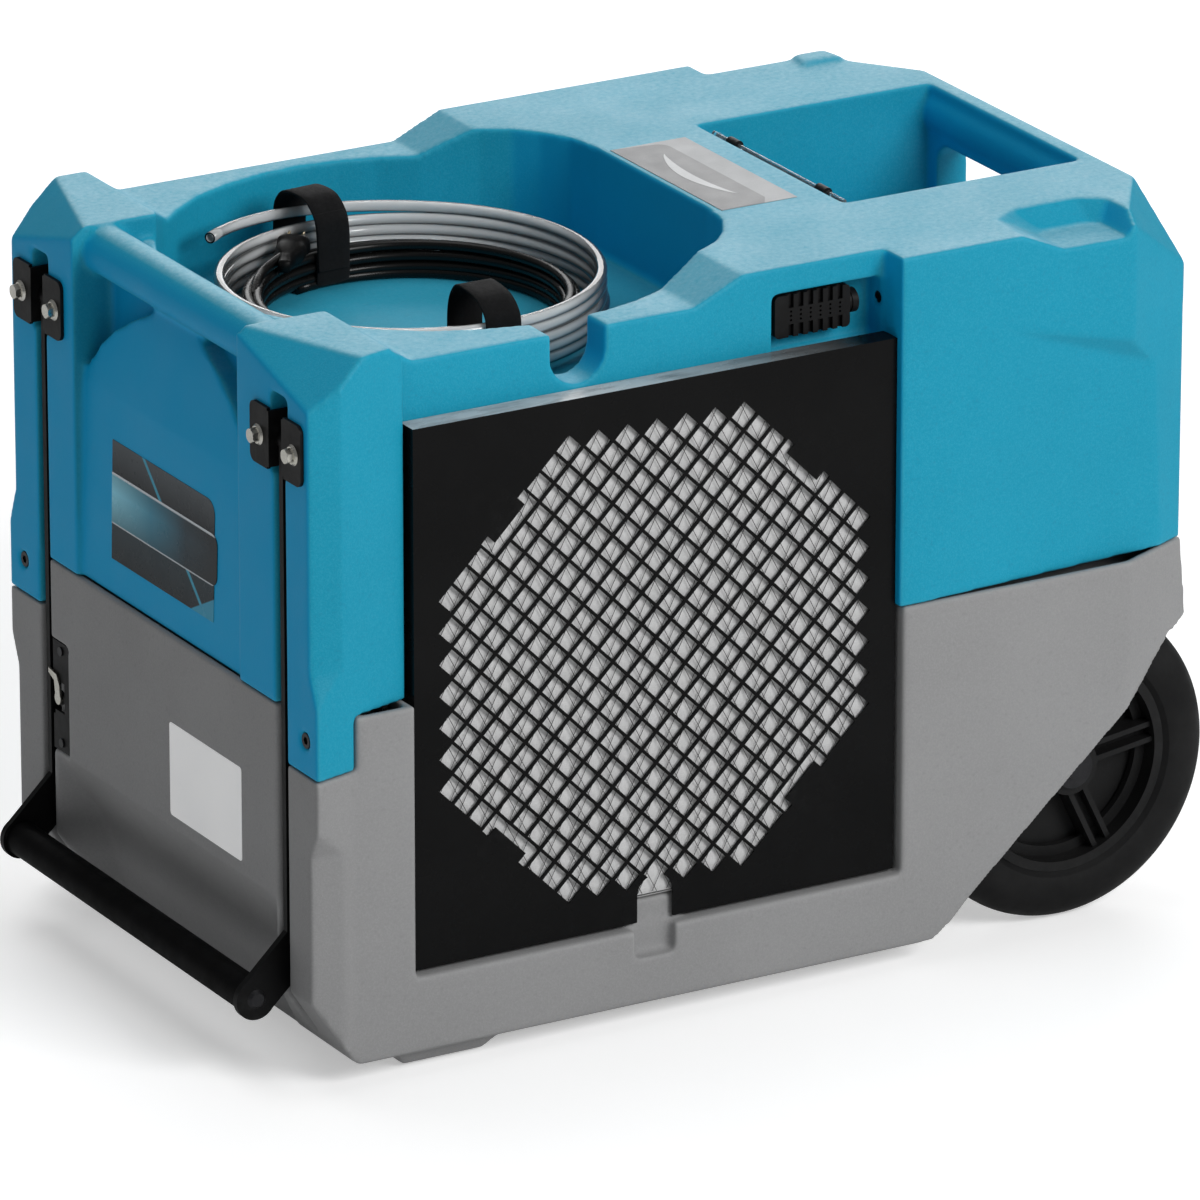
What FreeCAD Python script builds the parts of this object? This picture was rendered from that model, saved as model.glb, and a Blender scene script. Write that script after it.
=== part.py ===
import FreeCAD, Part
import math, os
from FreeCAD import Vector

# Portable commercial refrigerant dehumidifier, standing on two wheels and two feet.
# Millimetres. Drawn from a datum at the lower corner of the handle-end post:
# x runs from the handle end to the tail, y from the near (intake) side to the
# far (exhaust) side, z up. save() shifts every piece so that the overall box is
# centred in plan and the floor is at z = 0.

X_DIR, Y_DIR, Z_DIR = (1, 0, 0), (0, 1, 0), (0, 0, 1)

BODY_WIDTH = 530.0
Z_FLOOR = -266.0
ROW_SHIFT = Vector(-398.25, -BODY_WIDTH / 2, -Z_FLOOR)

Z_SEAM = 45.0           # joint between the two shells
Z_RIM = 318.0           # rim round the storage well
Z_DECK = 338.0          # top deck and post tops
Y_NEAR = 9.0            # near side face of the rear section
Y_FAR = 501.0           # far side face of the rear section
Y_MID_NEAR = 38.0       # recessed near side of the middle section
Y_MID_FAR = 529.0       # bulged far side of the middle section
X_TAIL = 816.0          # rear face at the seam
WALL = 6.0
CAVITY_INSET = WALL + 1.0
WELL_Y = 288.0          # symmetry line of the storage well
WELL_FLOOR = 248.0
RUN = 0.05              # radial running clearance

AXLE_X = 711.0
AXLE_Z = -132.0
AXLE_R = 8.0
WHEEL_Y = (57.0, 453.0)
TYRE_W = 48.0

ARM_Y = (59.5, 459.0)   # middle planes of the two handle arms
ARM_T = 6.0
PIVOT_X, PIVOT_Z = 10.0, 262.0
GRIP_X, GRIP_Z = -26.0, -194.0
SLOT_X = 27.0           # depth of the arm slots from the end face
SLOT_HALF = 8.5
BRACKET_BOLT_DY = (-28, 28)     # bracket bolts either side of an arm
LEG_SCREW_Y = (22, 497)
LEG_SCREW_Z = 29

PANEL_X0, PANEL_X1 = 95.0, 533.0    # intake panel
PANEL_Z0, PANEL_Z1 = -180.0, 270.0
PANEL_Y = 17.0
PANEL_GAP = 3.5
GRID_X, GRID_Z = 313.5, 45.0
GRID_PITCH = 26.4       # diagonal pitch of the diamond openings

FAN_X, FAN_Z = 313, 50.0
FAN_R = 148.0           # exhaust opening radius
FOOT_X = 118
FOOT_Y = (95, 435)      # centres of the two rubber feet

# x, y round the near half of the storage well; the far half mirrors it
WELL_HALF = [
    (465, 200), (460, 168), (446, 143), (430, 125), (407, 111), (382, 101), (360, 94),
    (328, 80), (297, 72), (264, 68), (228, 71), (190, 81), (155, 96), (124, 119),
    (97, 145), (75, 175), (57, 212), (47, 250), (44, WELL_Y)]
WELL = WELL_HALF + [(x, 2 * WELL_Y - y) for x, y in reversed(WELL_HALF[:-1])]

os.makedirs("parts", exist_ok=True)


# ---------------------------------------------------------------- helpers
def box(x0, x1, y0, y1, z0, z1):
    return Part.makeBox(x1 - x0, y1 - y0, z1 - z0, Vector(x0, y0, z0))


def closed_wire(points):
    return Part.makePolygon(points + [points[0]])


def prism_xy(outline, z0, z1):
    wire = closed_wire([Vector(x, y, z0) for x, y in outline])
    return Part.Face(wire).extrude(Vector(0, 0, z1 - z0))


def prism_xz(outline, y0, y1):
    wire = closed_wire([Vector(x, y0, z) for x, z in outline])
    return Part.Face(wire).extrude(Vector(0, y1 - y0, 0))


def prism_yz(outline, x0, x1):
    wire = closed_wire([Vector(x0, y, z) for y, z in outline])
    return Part.Face(wire).extrude(Vector(x1 - x0, 0, 0))


def hexagon(y, z, radius, phase):
    # y, z corners; phase is the angle of the first one
    angles = [math.radians(60 * k + phase) for k in range(6)]
    return [(y + radius * math.cos(a), z + radius * math.sin(a)) for a in angles]


def inset(outline, distance):
    # every edge of a closed outline moved inwards (outwards if negative)
    pairs = list(zip(outline, outline[1:] + outline[:1]))
    area = sum(a[0] * b[1] - b[0] * a[1] for a, b in pairs)
    turn = 1.0 if area > 0 else -1.0

    def inward_normal(start, end):
        dx, dy = end[0] - start[0], end[1] - start[1]
        length = math.hypot(dx, dy)
        return -dy / length * turn, dx / length * turn

    moved = []
    for i, (here, after) in enumerate(pairs):
        n1 = inward_normal(outline[i - 1], here)
        n2 = inward_normal(here, after)
        # the floor limits the mitre at very sharp corners
        mitre = max(1.0 + n1[0] * n2[0] + n1[1] * n2[1], 0.2)
        moved.append((here[0] + distance * (n1[0] + n2[0]) / mitre,
                      here[1] + distance * (n1[1] + n2[1]) / mitre))
    return moved


def cyl(x, y, z, radius, height, direction):
    return Part.makeCylinder(radius, height, Vector(x, y, z), Vector(*direction))


def cone(x, y, z, r_base, r_end, height, direction):
    return Part.makeCone(r_base, r_end, height, Vector(x, y, z), Vector(*direction))


def tube(x, y, z, r_out, r_in, height, direction):
    unit = Vector(*direction).normalize()
    bore = Part.makeCylinder(r_in, height + 2, Vector(x, y, z) - unit, unit)
    return cyl(x, y, z, r_out, height, direction).cut(bore)


def rounded_box(x0, x1, y0, y1, z0, z1, radius, axis):
    # the four edges along one axis (0, 1 or 2) are rounded
    block = box(x0, x1, y0, y1, z0, z1)
    edges = []
    for e in block.Edges:
        run = e.Vertexes[1].Point.sub(e.Vertexes[0].Point)
        spans = [abs(run.x), abs(run.y), abs(run.z)]
        if spans.pop(axis) > 1e-6 and max(spans) < 1e-6:
            edges.append(e)
    return block.makeFillet(radius, edges)


def tetra(a, b, c, d):
    faces = []
    for corners in ((a, b, c), (a, d, b), (b, d, c), (c, d, a)):
        faces.append(Part.Face(closed_wire([Vector(*p) for p in corners])))
    solid = Part.Solid(Part.Shell(faces))
    if solid.Volume < 0:
        solid.reverse()
    return solid


def block_beyond(a, b, c, outward, size, depth=0):
    # cube on the outward side of the plane through three points, sunk by depth
    base = Vector(*a)
    normal = Vector(*b).sub(base).cross(Vector(*c).sub(base))
    if normal.dot(Vector(*outward)) < 0:
        normal.multiply(-1)
    normal.normalize()
    block = Part.makeBox(size, size, size, Vector(-size / 2, -size / 2, 0))
    block.Placement = FreeCAD.Placement(base - normal * depth,
                                        FreeCAD.Rotation(Vector(0, 0, 1), normal))
    return block


def loft(outline_a, z_a, outline_b, z_b):
    wires = [closed_wire([Vector(x, y, z) for x, y in outline])
             for outline, z in ((outline_a, z_a), (outline_b, z_b))]
    return Part.makeLoft(wires, True, True)


def pipe(points, radius):
    # run of round pipe with ball elbows
    run = None
    for i in range(len(points) - 1):
        start = Vector(*points[i])
        step = Vector(*points[i + 1]).sub(start)
        length = Part.makeCylinder(radius, step.Length, start, step)
        run = length if run is None else run.fuse(length)
        if i > 0:
            run = run.fuse(Part.makeSphere(radius, start))
    return run.removeSplitter()


def turned(shape, centre, direction, angle):
    shape.rotate(Vector(*centre), Vector(*direction), angle)
    return shape


def fuse(pieces):
    whole = pieces[0]
    for piece in pieces[1:]:
        whole = whole.fuse(piece)
    return whole


def largest_solid(shape):
    return max(shape.Solids, key=lambda solid: solid.Volume)


def save(name, shape, clean=True):
    if clean:
        # merging coplanar faces may fail on some shapes; those stay unmerged
        try:
            merged = shape.removeSplitter()
            drift = abs(merged.Volume - shape.Volume)
            if merged.isValid() and drift < 1e-3 * abs(shape.Volume) + 1:
                shape = merged
        except Exception:
            pass
    solids = [s.copy() for s in shape.Solids]
    shape = solids[0] if len(solids) == 1 else Part.makeCompound(solids)
    shape.translate(ROW_SHIFT)
    shape.exportStep("parts/%s.step" % name)


def save_group(name, shapes):
    save(name, Part.makeCompound(shapes), False)


# ---------------------------------------------------------------- shared shell tools
def chamfer_corners(shell, near_end_y, z0, z1, z_tip, z_base):
    # strips off both handle-end corners, each fading out in a pointed facet
    corners = (((-0.01, 13.0), (27.0, near_end_y), (-12.0, -12.0), (0.0, 0.0), -60),
               ((-0.01, 509.0), (27.0, 525.4), (-12.0, 542.0), (0.0, 520.0), 590))
    for start, end, outer, tip, y_out in corners:
        dx, dy = end[0] - start[0], end[1] - start[1]
        before = (start[0] - dx, start[1] - dy)
        after = (end[0] + dx, end[1] + dy)
        shell = shell.cut(prism_xy([before, after, (after[0], y_out),
                                    (before[0] - 30, y_out)], z0, z1))
        shell = shell.cut(tetra((*tip, z_tip), (*start, z_base), (*end, z_base),
                                (*outer, z_base)))
    return shell


def arm_slot(y_arm, half_width, x0, z0, z1, grow=0.0):
    return box(x0, SLOT_X + grow, y_arm - half_width - grow, y_arm + half_width + grow,
               z0 - grow, z1 + grow)


def exhaust_opening():
    return cyl(FAN_X, 500, FAN_Z, FAN_R, 60, Y_DIR)


# ---------------------------------------------------------------- upper shell
# x, y plans
REAR_PLAN = [(533, Y_NEAR), (750, Y_NEAR), (X_TAIL + 1, 40), (X_TAIL + 1, 470),
             (750, Y_FAR), (533, Y_FAR)]
NEAR_POST = [(0, 0), (78, 21.2), (78, 128), (0, 128)]
FAR_POST = [(0, 402), (78, 402), (78, 530), (50, 530), (0, 520)]
# y, z of the far half of the arched edge round the end recess
ARCH_EDGE = [(402, 212), (396, 226), (380, 247), (365, 260), (339, 276), (313, 289),
             (288, 300), (266, 307), (266, 330), (402, 330)]
# three plane points and an outward direction for each cut corner
TOP_FACETS = (
    ((803, 98, 338), (747, 9, 332), (817, 40, 278), (1, -1, 1)),
    ((800, 423, 338), (747, 501, 332), (817, 470, 278), (1, 1, 1)),
    ((10.8, 120.6, 338), (50.2, 15.6, 338), (0, 11.4, 300), (-1, -1, 1)),
    ((14, 410, 338), (50, 524, 338), (0, 511, 300), (-1, 1, 1)))


def upper_form(shrink):
    # outer form of the upper shell, or the same form shrunk to give the cavity
    bottom = Z_SEAM - (1 if shrink else 0)
    rim = Z_RIM - shrink
    deck = Z_DECK - shrink
    step = 0.2 * shrink
    middle = prism_xz([(60 + shrink, bottom), (60 + shrink, rim), (360 + step, rim),
                       (404 + step, deck), (641 - shrink, deck), (641 - shrink, bottom)],
                      Y_MID_NEAR + shrink, Y_MID_FAR - shrink)
    rear = prism_xy(inset(REAR_PLAN, shrink), bottom, deck)
    if shrink:
        # joins the two cavities
        rear = rear.fuse(box(500, 560, Y_MID_NEAR + shrink, Y_FAR - shrink, bottom, deck))
    body = middle.fuse(rear)
    # end panel between the posts, leaning back towards the top
    body = body.fuse(prism_xz([(4 + shrink, bottom), (8 + shrink, 212),
                               (22 + shrink, 305 - shrink), (80, 305 - shrink), (80, bottom)],
                              70 + shrink, 460 - shrink))
    for plan in (NEAR_POST, FAR_POST):
        body = body.fuse(prism_xy(inset(plan, shrink), bottom, deck))
    # the post tops slope down to the rim of the well
    slope = [(70, bottom), (70, deck), (76, deck), (106, rim), (106, bottom)]
    near_edge = prism_xy([(70, 19.0 + shrink), (91.5, 24.9 + shrink), (91.5, 50), (70, 50)],
                         bottom, deck)
    near_slope = prism_xz(slope, Y_MID_NEAR + shrink, 128 - shrink).fuse(
        near_edge.common(prism_xz(slope, 0, 60)))
    body = body.fuse(near_slope).fuse(prism_xz(slope, 402 + shrink, 530 - shrink))
    # drafted rear face
    body = body.cut(prism_xz([(X_TAIL - shrink, Z_SEAM - 2), (X_TAIL + 1 - shrink, 282),
                              (803 - shrink, Z_DECK + 1), (900, Z_DECK + 1),
                              (900, Z_SEAM - 2)], -50, 600))
    for a, b, c, outward in TOP_FACETS:
        body = body.cut(block_beyond(a, b, c, outward, 420.0, shrink))
    return body


def side_wedge():
    # shallow slanted facet on the near side of the rear section
    wedge = box(540, 800, -6, 30, 40, 270)
    for a, b, c, outward in (
            ((628, 9, 262), (556, 9, 56), (778, 26, 45), (0, 1, 0)),
            ((628, 9, 262), (744, 9, 235), (771, 21.1, 209), (0, 0, 1))):
        wedge = wedge.cut(block_beyond(a, b, c, outward, 900.0))
    return wedge


def upper_recesses():
    # pairs: the recess itself, and the room it takes out of the cavity
    pairs = []
    # storage well
    pairs.append((prism_xy(WELL, WELL_FLOOR, 420),
                  prism_xy(inset(WELL, -WALL), WELL_FLOOR - WALL, 420)))
    # hose notch in the near rim
    pairs.append((box(230, 279, 30, 82, 298, 350).fuse(cyl(254.5, 30, 298, 24.5, 52, Y_DIR)),
                  box(224, 285, 30, 90, 298, 350).fuse(cyl(254.5, 30, 298, 30.5, 60, Y_DIR))))
    # humidity sensor bay, and the hole in its end wall
    pairs.append((rounded_box(431, 531, 20, 61, 262, 316, 4, axis=1),
                  box(425, 540, 20, 67, 256, 322)))
    pairs.append((cyl(530.5, 46, 296, 5.2, 5.0, X_DIR), cyl(525, 46, 296, 12, 18, X_DIR)))
    # control pocket with a sloping wall towards the handle end
    pairs.append((prism_xz([(566, 345), (566, 330), (636, 262), (640, 235), (787, 235),
                            (787, 345)], 155, 387),
                  prism_xz([(560, 351), (560, 327), (630, 258), (634, 229), (795, 229),
                            (795, 351)], 149, 393)))
    # hand opening through the tail
    pairs.append((rounded_box(770, 830, 168, 374, 238, 290, 18, axis=0),
                  box(770, 830, 162, 380, 232, 296)))
    # stacking pocket in the near top edge
    pairs.append((loft([(640, -20), (645, 58), (672, 74), (731, 74), (754, 59), (757, -20)], 339,
                       [(683, -20), (684, 48), (692, 56), (735, 56), (742, 49), (742, -20)],
                       321),
                  loft([(634, -20), (639, 64), (666, 80), (737, 80), (760, 65), (763, -20)], 333,
                       [(677, -20), (678, 54), (686, 62), (741, 62), (748, 55), (748, -20)],
                       314)))
    # deeper corners of the end recess under the bar
    for outline in ([(BODY_WIDTH - y, z) for y, z in ARCH_EDGE], ARCH_EDGE):
        pairs.append((prism_yz(outline, -5, 36), box(-5, 44, 120, 410, 190, 340)))
    # arm slots, each with a wider bracket bay and a relief notch, then bolt holes
    for y_arm in ARM_Y:
        for half_width, x0, z0, z1 in ((SLOT_HALF, -5, -300, 245), (13, -5, 236, 302),
                                       (17, 0.001, 250, 274)):
            pairs.append((arm_slot(y_arm, half_width, x0, z0, z1),
                          arm_slot(y_arm, half_width, -5, z0, z1, WALL + 0.0)
                          if x0 < 0 else
                          arm_slot(y_arm, half_width, -5, z0, z1, WALL)))
        for dy in BRACKET_BOLT_DY:
            pairs.append((cyl(-1, y_arm + dy, PIVOT_Z, 3.4, 26, X_DIR),
                          cyl(-1, y_arm + dy, PIVOT_Z, 8, 30, X_DIR)))
    return pairs


def post_legs():
    # feet of the posts below the joint, with counterbored screw holes
    legs = []
    for plan, y in zip(([(0, 0), (39, 10.6), (39, 51), (0, 51)],
                        [(0, 468), (39, 468), (39, 527.8), (0, 520)]), LEG_SCREW_Y):
        leg = prism_xy(plan, 0, Z_SEAM + 0.5)
        leg = leg.cut(cyl(-1, y, LEG_SCREW_Z, 5.2, 30, X_DIR))
        legs.append(leg.cut(cyl(-1, y, LEG_SCREW_Z, 8.5, 5, X_DIR)))
    return legs


def upper_shell():
    shell = upper_form(0).cut(side_wedge())
    shell = chamfer_corners(shell, 7.34, 87, 420, z_tip=57, z_base=87.01)
    # the cavity keeps clear of the chamfered corners and of the side wedge
    cavity = upper_form(CAVITY_INSET)
    for block in (box(-20, 34, -20, 21, -20, 400), box(-20, 34, 501, 560, -20, 400),
                  box(540, 792, -20, 33, 20, 290)):
        cavity = cavity.cut(block)
    for recess, room in upper_recesses():
        shell = shell.cut(recess)
        cavity = cavity.cut(room)
    # intake opening behind the panel, and the exhaust opening
    shell = shell.cut(box(115, 513, 30, 60, Z_SEAM - 10, 250))
    shell = shell.cut(exhaust_opening())
    cavity = cavity.cut(box(-20, 60, 40, 480, 330, 400))
    shell = shell.cut(cavity)
    # rounded underside of the grab bar at the tail
    shell = shell.fuse(cyl(807, 150, 313, 25, 242, Y_DIR).common(upper_form(0)))
    # tube bar between the post tops
    shell = shell.fuse(cyl(30, 112, 316, 20, 306, Y_DIR))
    # small stacking lug on the far top edge
    shell = shell.fuse(loft([(716, 472), (764, 472), (760, 500.5), (720, 500.5)], 336,
                            [(722, 478), (756, 478), (752, 500), (726, 500)], 342))
    for leg in post_legs():
        shell = shell.fuse(leg)
    return largest_solid(shell)


save("upper_shell", upper_shell())

# ---------------------------------------------------------------- lower shell
LOW_PLAN = [(0, 0), (36, Y_NEAR), (750, Y_NEAR), (828, 44), (828, 466), (750, Y_FAR),
            (645, Y_FAR), (641, 529), (50, 530), (0, 520)]      # x, y
LOW_BOTTOM = -259.0


def lower_form(shrink):
    # outer form of the lower shell, or the same form shrunk to give the cavity
    low = LOW_BOTTOM + shrink
    if shrink:
        top = Z_SEAM + 5
        side = [(shrink, top), (shrink, -188), (56, low + 4), (74, low), (546, low),
                (560, -240), (576, -228), (596 - shrink, -213), (789, -41 + shrink),
                (817, -24), (809, top)]
    else:
        top = Z_SEAM - 0.6
        side = [(0, top), (0, -190), (34, -242), (50, -254), (72, low), (556, low),
                (568, -246), (584, -234.5), (600, -217.6), (795.5, -41.3), (825, -24),
                (817, top)]
    body = prism_xy(inset(LOW_PLAN, shrink), -280, top)
    body = body.common(prism_xz(side, -20, 560))
    # underside turned up a little to the sides
    near, far, edge = -5 + shrink, 535 - shrink, -240.1 + shrink
    return body.common(prism_yz([(near, 60), (near, edge), (40, low), (490, low),
                                 (far, edge), (far, 60)], -20, 900))


def add_feet(shell):
    # moulded feet under the handle end, with sockets for the rubber feet
    for y0, y1, taper0, taper1, y_foot in ((20, 150, 10, 8, FOOT_Y[0]),
                                           (380, 510, 8, 10, FOOT_Y[1])):
        shell = shell.fuse(loft(
            [(78, y0), (180, y0), (180, y1), (78, y1)], -246,
            [(90, y0 + taper0), (163, y0 + taper0), (163, y1 - taper1), (90, y1 - taper1)],
            -264.0))
        shell = shell.cut(cyl(FOOT_X, y_foot, -270, 21.6, 8.8, Z_DIR))
    return shell


def grip_hollow():
    # hollow behind the grip, narrowing inwards
    hollow = prism_xz([(-5, -118), (0, -118), (6, -131), (16, -148), (28, -170), (35, -196),
                       (44, -262), (-5, -262)], 66, 452)
    plan = [(-6, 66), (-6, 452), (45, 400), (45, 112)]
    return hollow.common(loft(plan, -270, plan, -100).fuse(box(-6, 0.5, 66, 452, -270, -100)))


def lower_shell():
    shell = add_feet(lower_form(0))
    shell = chamfer_corners(shell, 6.75, -300, -66, z_tip=-40, z_base=-66.01)
    cavity = lower_form(CAVITY_INSET)
    cavity = cavity.cut(box(-20, 34, -20, 21, -300, 60)).cut(box(-20, 34, 501, 560, -300, 60))
    # recess that takes the intake panel, and the opening behind it
    shell = shell.cut(box(PANEL_X0 - PANEL_GAP, PANEL_X1 + PANEL_GAP, -10, Y_MID_NEAR,
                          PANEL_Z0 - PANEL_GAP, 60))
    cavity = cavity.cut(box(PANEL_X0 - 10, PANEL_X1 + 10, -10, Y_MID_NEAR + WALL,
                            PANEL_Z0 - 10, 60))
    shell = shell.cut(box(115, 513, 20, 62, -165, 60))
    # rounded notch under the panel
    shell = shell.fuse(box(287, 338, 22, 40, -184, -163))
    shell = shell.cut(rounded_box(290, 327, -10, 20, -208, -150, 4, axis=1))
    cavity = cavity.cut(box(284, 333, -10, 30, -214, -160))
    cavity = cavity.cut(box(280, 345, 10, 50, -190, -157))
    for y_arm in ARM_Y:
        shell = shell.cut(arm_slot(y_arm, SLOT_HALF, -5, -300, 60))
        cavity = cavity.cut(arm_slot(y_arm, SLOT_HALF, -5, -300, 60, WALL))
    shell = shell.cut(grip_hollow())
    cavity = cavity.cut(prism_xz([(-5, -111), (7, -111), (13, -128), (23, -145), (35, -167),
                                  (43, -195), (52, -262), (-5, -262)], 60, 458))
    # latch bay at the far slot
    shell = shell.cut(box(-5, 8, 422, 452, -118, -23))
    cavity = cavity.cut(box(-5, 14, 416, 458, -124, -17))
    # room for the post legs of the upper shell
    shell = shell.cut(box(-5, 39.6, -5, 51.0, -0.6, 60))
    shell = shell.cut(box(-5, 39.6, 467.4, 540, -0.6, 60))
    cavity = cavity.cut(box(-5, 46, -5, 57, -7, 60)).cut(box(-5, 46, 461, 540, -7, 60))
    # wheel wells; the cavity gives way to them and to all outboard of them
    for y0, y1, spare0, spare1 in ((Y_NEAR + 5.0, 88, 30, WALL), (422, Y_FAR - 5.0, WALL, 30)):
        shell = shell.cut(box(558, 811, y0, y1, -300, 16).common(
            prism_xy(inset(LOW_PLAN, 5.0), -300, 16)))
        shell = shell.cut(box(800, 900, y0, y1, -300, -33))
        cavity = cavity.cut(box(552, 900, y0 - spare0, y1 + spare1, -300, 22))
    # raised underside between the wheels, with the axle let through it
    shell = shell.fuse(prism_xz([(575, -251), (600, -222), (640, -180), (742, -160),
                                 (800, -60), (812, 0), (565, 0)], 88, 422))
    cavity = cavity.cut(box(552, 900, -10, 540, -300, -100))
    cavity = cavity.cut(box(780, 900, -10, 540, -300, -30))
    cavity = cavity.fuse(box(700, 766, 97, 413, -99.9, -20))
    shell = shell.cut(cavity)
    shell = shell.cut(cyl(AXLE_X, 80, AXLE_Z, AXLE_R + RUN, 350, Y_DIR))
    shell = shell.cut(exhaust_opening())
    return largest_solid(shell)


save("lower_shell", lower_shell())


# ---------------------------------------------------------------- intake panel, filter
def diamond_openings():
    half_diagonal = 16.0 / math.sqrt(2.0)
    step = GRID_PITCH / 2.0
    openings = []
    for i in range(-14, 15):
        for j in range(-14, 15):
            if (i + j) % 2 or abs(i) + abs(j) > 20:
                continue
            # left out to make room for the clip slots
            if (abs(i), abs(j)) in ((10, 10), (9, 11), (11, 9)):
                continue
            x, z = GRID_X + i * step, GRID_Z + j * step
            openings.append(prism_xz(
                [(x - half_diagonal, z), (x, z - half_diagonal),
                 (x + half_diagonal, z), (x, z + half_diagonal)], PANEL_Y - 1, PANEL_Y + 3))
    return openings


def clip_slots():
    # C-shaped slots in the four slanted sides of the diamond field
    outline = [(-27, -11.7), (27, -11.7), (27, 6), (19, 6), (19, -3.2), (-19, -3.2),
               (-19, 6), (-27, 6)]      # along the side, outwards from the field
    reach = 10.2 * GRID_PITCH / 2.0
    slots = []
    for sx in (-1, 1):
        for sz in (-1, 1):
            centre = Vector(GRID_X + sx * reach, 0, GRID_Z + sz * reach)
            along = Vector(sx, 0, -sz).normalize()
            outward = Vector(sx, 0, sz).normalize()
            corners = [centre + along * a + outward * b for a, b in outline]
            slots.append(prism_xz([(p.x, p.z) for p in corners], PANEL_Y - 1, PANEL_Y + 3))
    return slots


def intake_panel():
    sheet = 1.5
    tray = box(PANEL_X0, PANEL_X1, PANEL_Y, 37.4, PANEL_Z0, PANEL_Z1)
    tray = tray.cut(box(PANEL_X0 + sheet, PANEL_X1 - sheet, PANEL_Y + sheet, 40,
                        PANEL_Z0 + sheet, PANEL_Z1 - sheet))
    tray = tray.cut(Part.makeCompound(diamond_openings() + clip_slots()))
    # arched notch in the lower edge
    tray = tray.cut(box(285, 340, PANEL_Y + sheet, 40, PANEL_Z0 - 1, PANEL_Z0 + 3))
    tray = tray.cut(box(296, 328.5, PANEL_Y - 1, 40, PANEL_Z0 - 1, -158))
    return tray.cut(cyl(312.25, PANEL_Y - 1, -158, 16.25, 24, Y_DIR))


def filter_screen():
    y0, y1 = PANEL_Y + 1.6, PANEL_Y + 2.8
    half_bar = 0.8
    screen = box(PANEL_X0 + 2, PANEL_X1 - 2, y0, y1, PANEL_Z0 + 19, PANEL_Z1 - 2)
    screen = screen.cut(box(PANEL_X0 + 12, PANEL_X1 - 12, 0, 60, PANEL_Z0 + 27, PANEL_Z1 - 12))
    for k in range(-4, 5):
        x = GRID_X + k * 45
        screen = screen.fuse(box(x - half_bar, x + half_bar, y0, y1,
                                 PANEL_Z0 + 24, PANEL_Z1 - 8))
    for k in range(-4, 5):
        z = GRID_Z + 10 + k * 42
        screen = screen.fuse(box(PANEL_X0 + 8, PANEL_X1 - 8, y0, y1,
                                 z - half_bar, z + half_bar))
    return screen


save("intake_panel", intake_panel(), False)
save("filter_screen", filter_screen())
save("air_filter", box(PANEL_X0 + 3, PANEL_X1 - 3, PANEL_Y + 3.2, 36.6,
                       PANEL_Z0 + 19, PANEL_Z1 - 3))

# ---------------------------------------------------------------- handle
PIN_R = 4.0
BRACKET_T = 3
BRACKET_HALF = 41       # half width over the flanges
GRIP_HOLE_R = 4.1


def bracket(y):
    # U-shaped pocket with a flange on either side
    cheek_in, cheek_out = 10.4, 13
    shape = box(-BRACKET_T, 0, y - BRACKET_HALF, y - cheek_out, 238, 288).fuse(
        box(-BRACKET_T, 0, y + cheek_out, y + BRACKET_HALF, 238, 288))
    shape = fuse([shape, box(-BRACKET_T, 26, y - cheek_out, y - cheek_in, 240, 286),
                  box(-BRACKET_T, 26, y + cheek_in, y + cheek_out, 240, 286)])
    shape = shape.fuse(box(23.6, 26, y - cheek_out, y + cheek_out, 240, 286))
    # outer corners of the flanges
    corners = [e for e in shape.Edges if e.Length < 3.1
               and abs(e.Vertexes[0].Point.x - e.Vertexes[1].Point.x) > 2.9
               and abs(abs(e.Vertexes[0].Point.y - y) - BRACKET_HALF) < 0.1]
    shape = shape.makeFillet(7.0, corners)
    shape = shape.cut(cyl(PIVOT_X, y - 15, PIVOT_Z, PIN_R + RUN, 30, Y_DIR))
    for dy in BRACKET_BOLT_DY:
        shape = shape.cut(cyl(-4, y + dy, PIVOT_Z, 3.4, 6, X_DIR))
    return shape


def bracket_bolt(y, z):
    head = prism_yz(hexagon(y, z, 6.4, 30), -3, -10.2)
    head = head.common(cone(-3, y, z, 8.8, 5.2, 8.4, (-1, 0, 0)))
    flange = cone(-3.02, y, z, 8.6, 7.0, 1.8, (-1, 0, 0))
    return fuse([head, flange, cyl(-3.5, y, z, 3.0, 24, X_DIR)])


def pivot_pin(y):
    return fuse([cyl(PIVOT_X, y - 15.6, PIVOT_Z, PIN_R, 31.2, Y_DIR),
                 cyl(PIVOT_X, y - 15.9, PIVOT_Z, 6.5, 2.6, Y_DIR),
                 cyl(PIVOT_X, y + 13.3, PIVOT_Z, 6.5, 2.6, Y_DIR)])


def handle_arm(y):
    y0 = y - ARM_T / 2
    slant = 12.1
    arm = prism_xz([(2, PIVOT_Z), (2, -143), (GRIP_X - slant, GRIP_Z + slant),
                    (GRIP_X + slant, GRIP_Z - slant), (22, -172), (22, PIVOT_Z)],
                   y0, y + ARM_T / 2)
    arm = arm.fuse(cyl(GRIP_X, y0, GRIP_Z, 17.5, ARM_T, Y_DIR))
    arm = arm.fuse(cyl(PIVOT_X + 2, y0, PIVOT_Z, 10.4, ARM_T, Y_DIR))
    arm = arm.fuse(cyl(PIVOT_X, y - 10.2, PIVOT_Z, 7.5, 20.4, Y_DIR))
    arm = arm.cut(cyl(PIVOT_X, y - 15, PIVOT_Z, PIN_R + RUN, 30, Y_DIR))
    return arm.cut(cyl(GRIP_X, y - 4, GRIP_Z, GRIP_HOLE_R, 8, Y_DIR))


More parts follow.
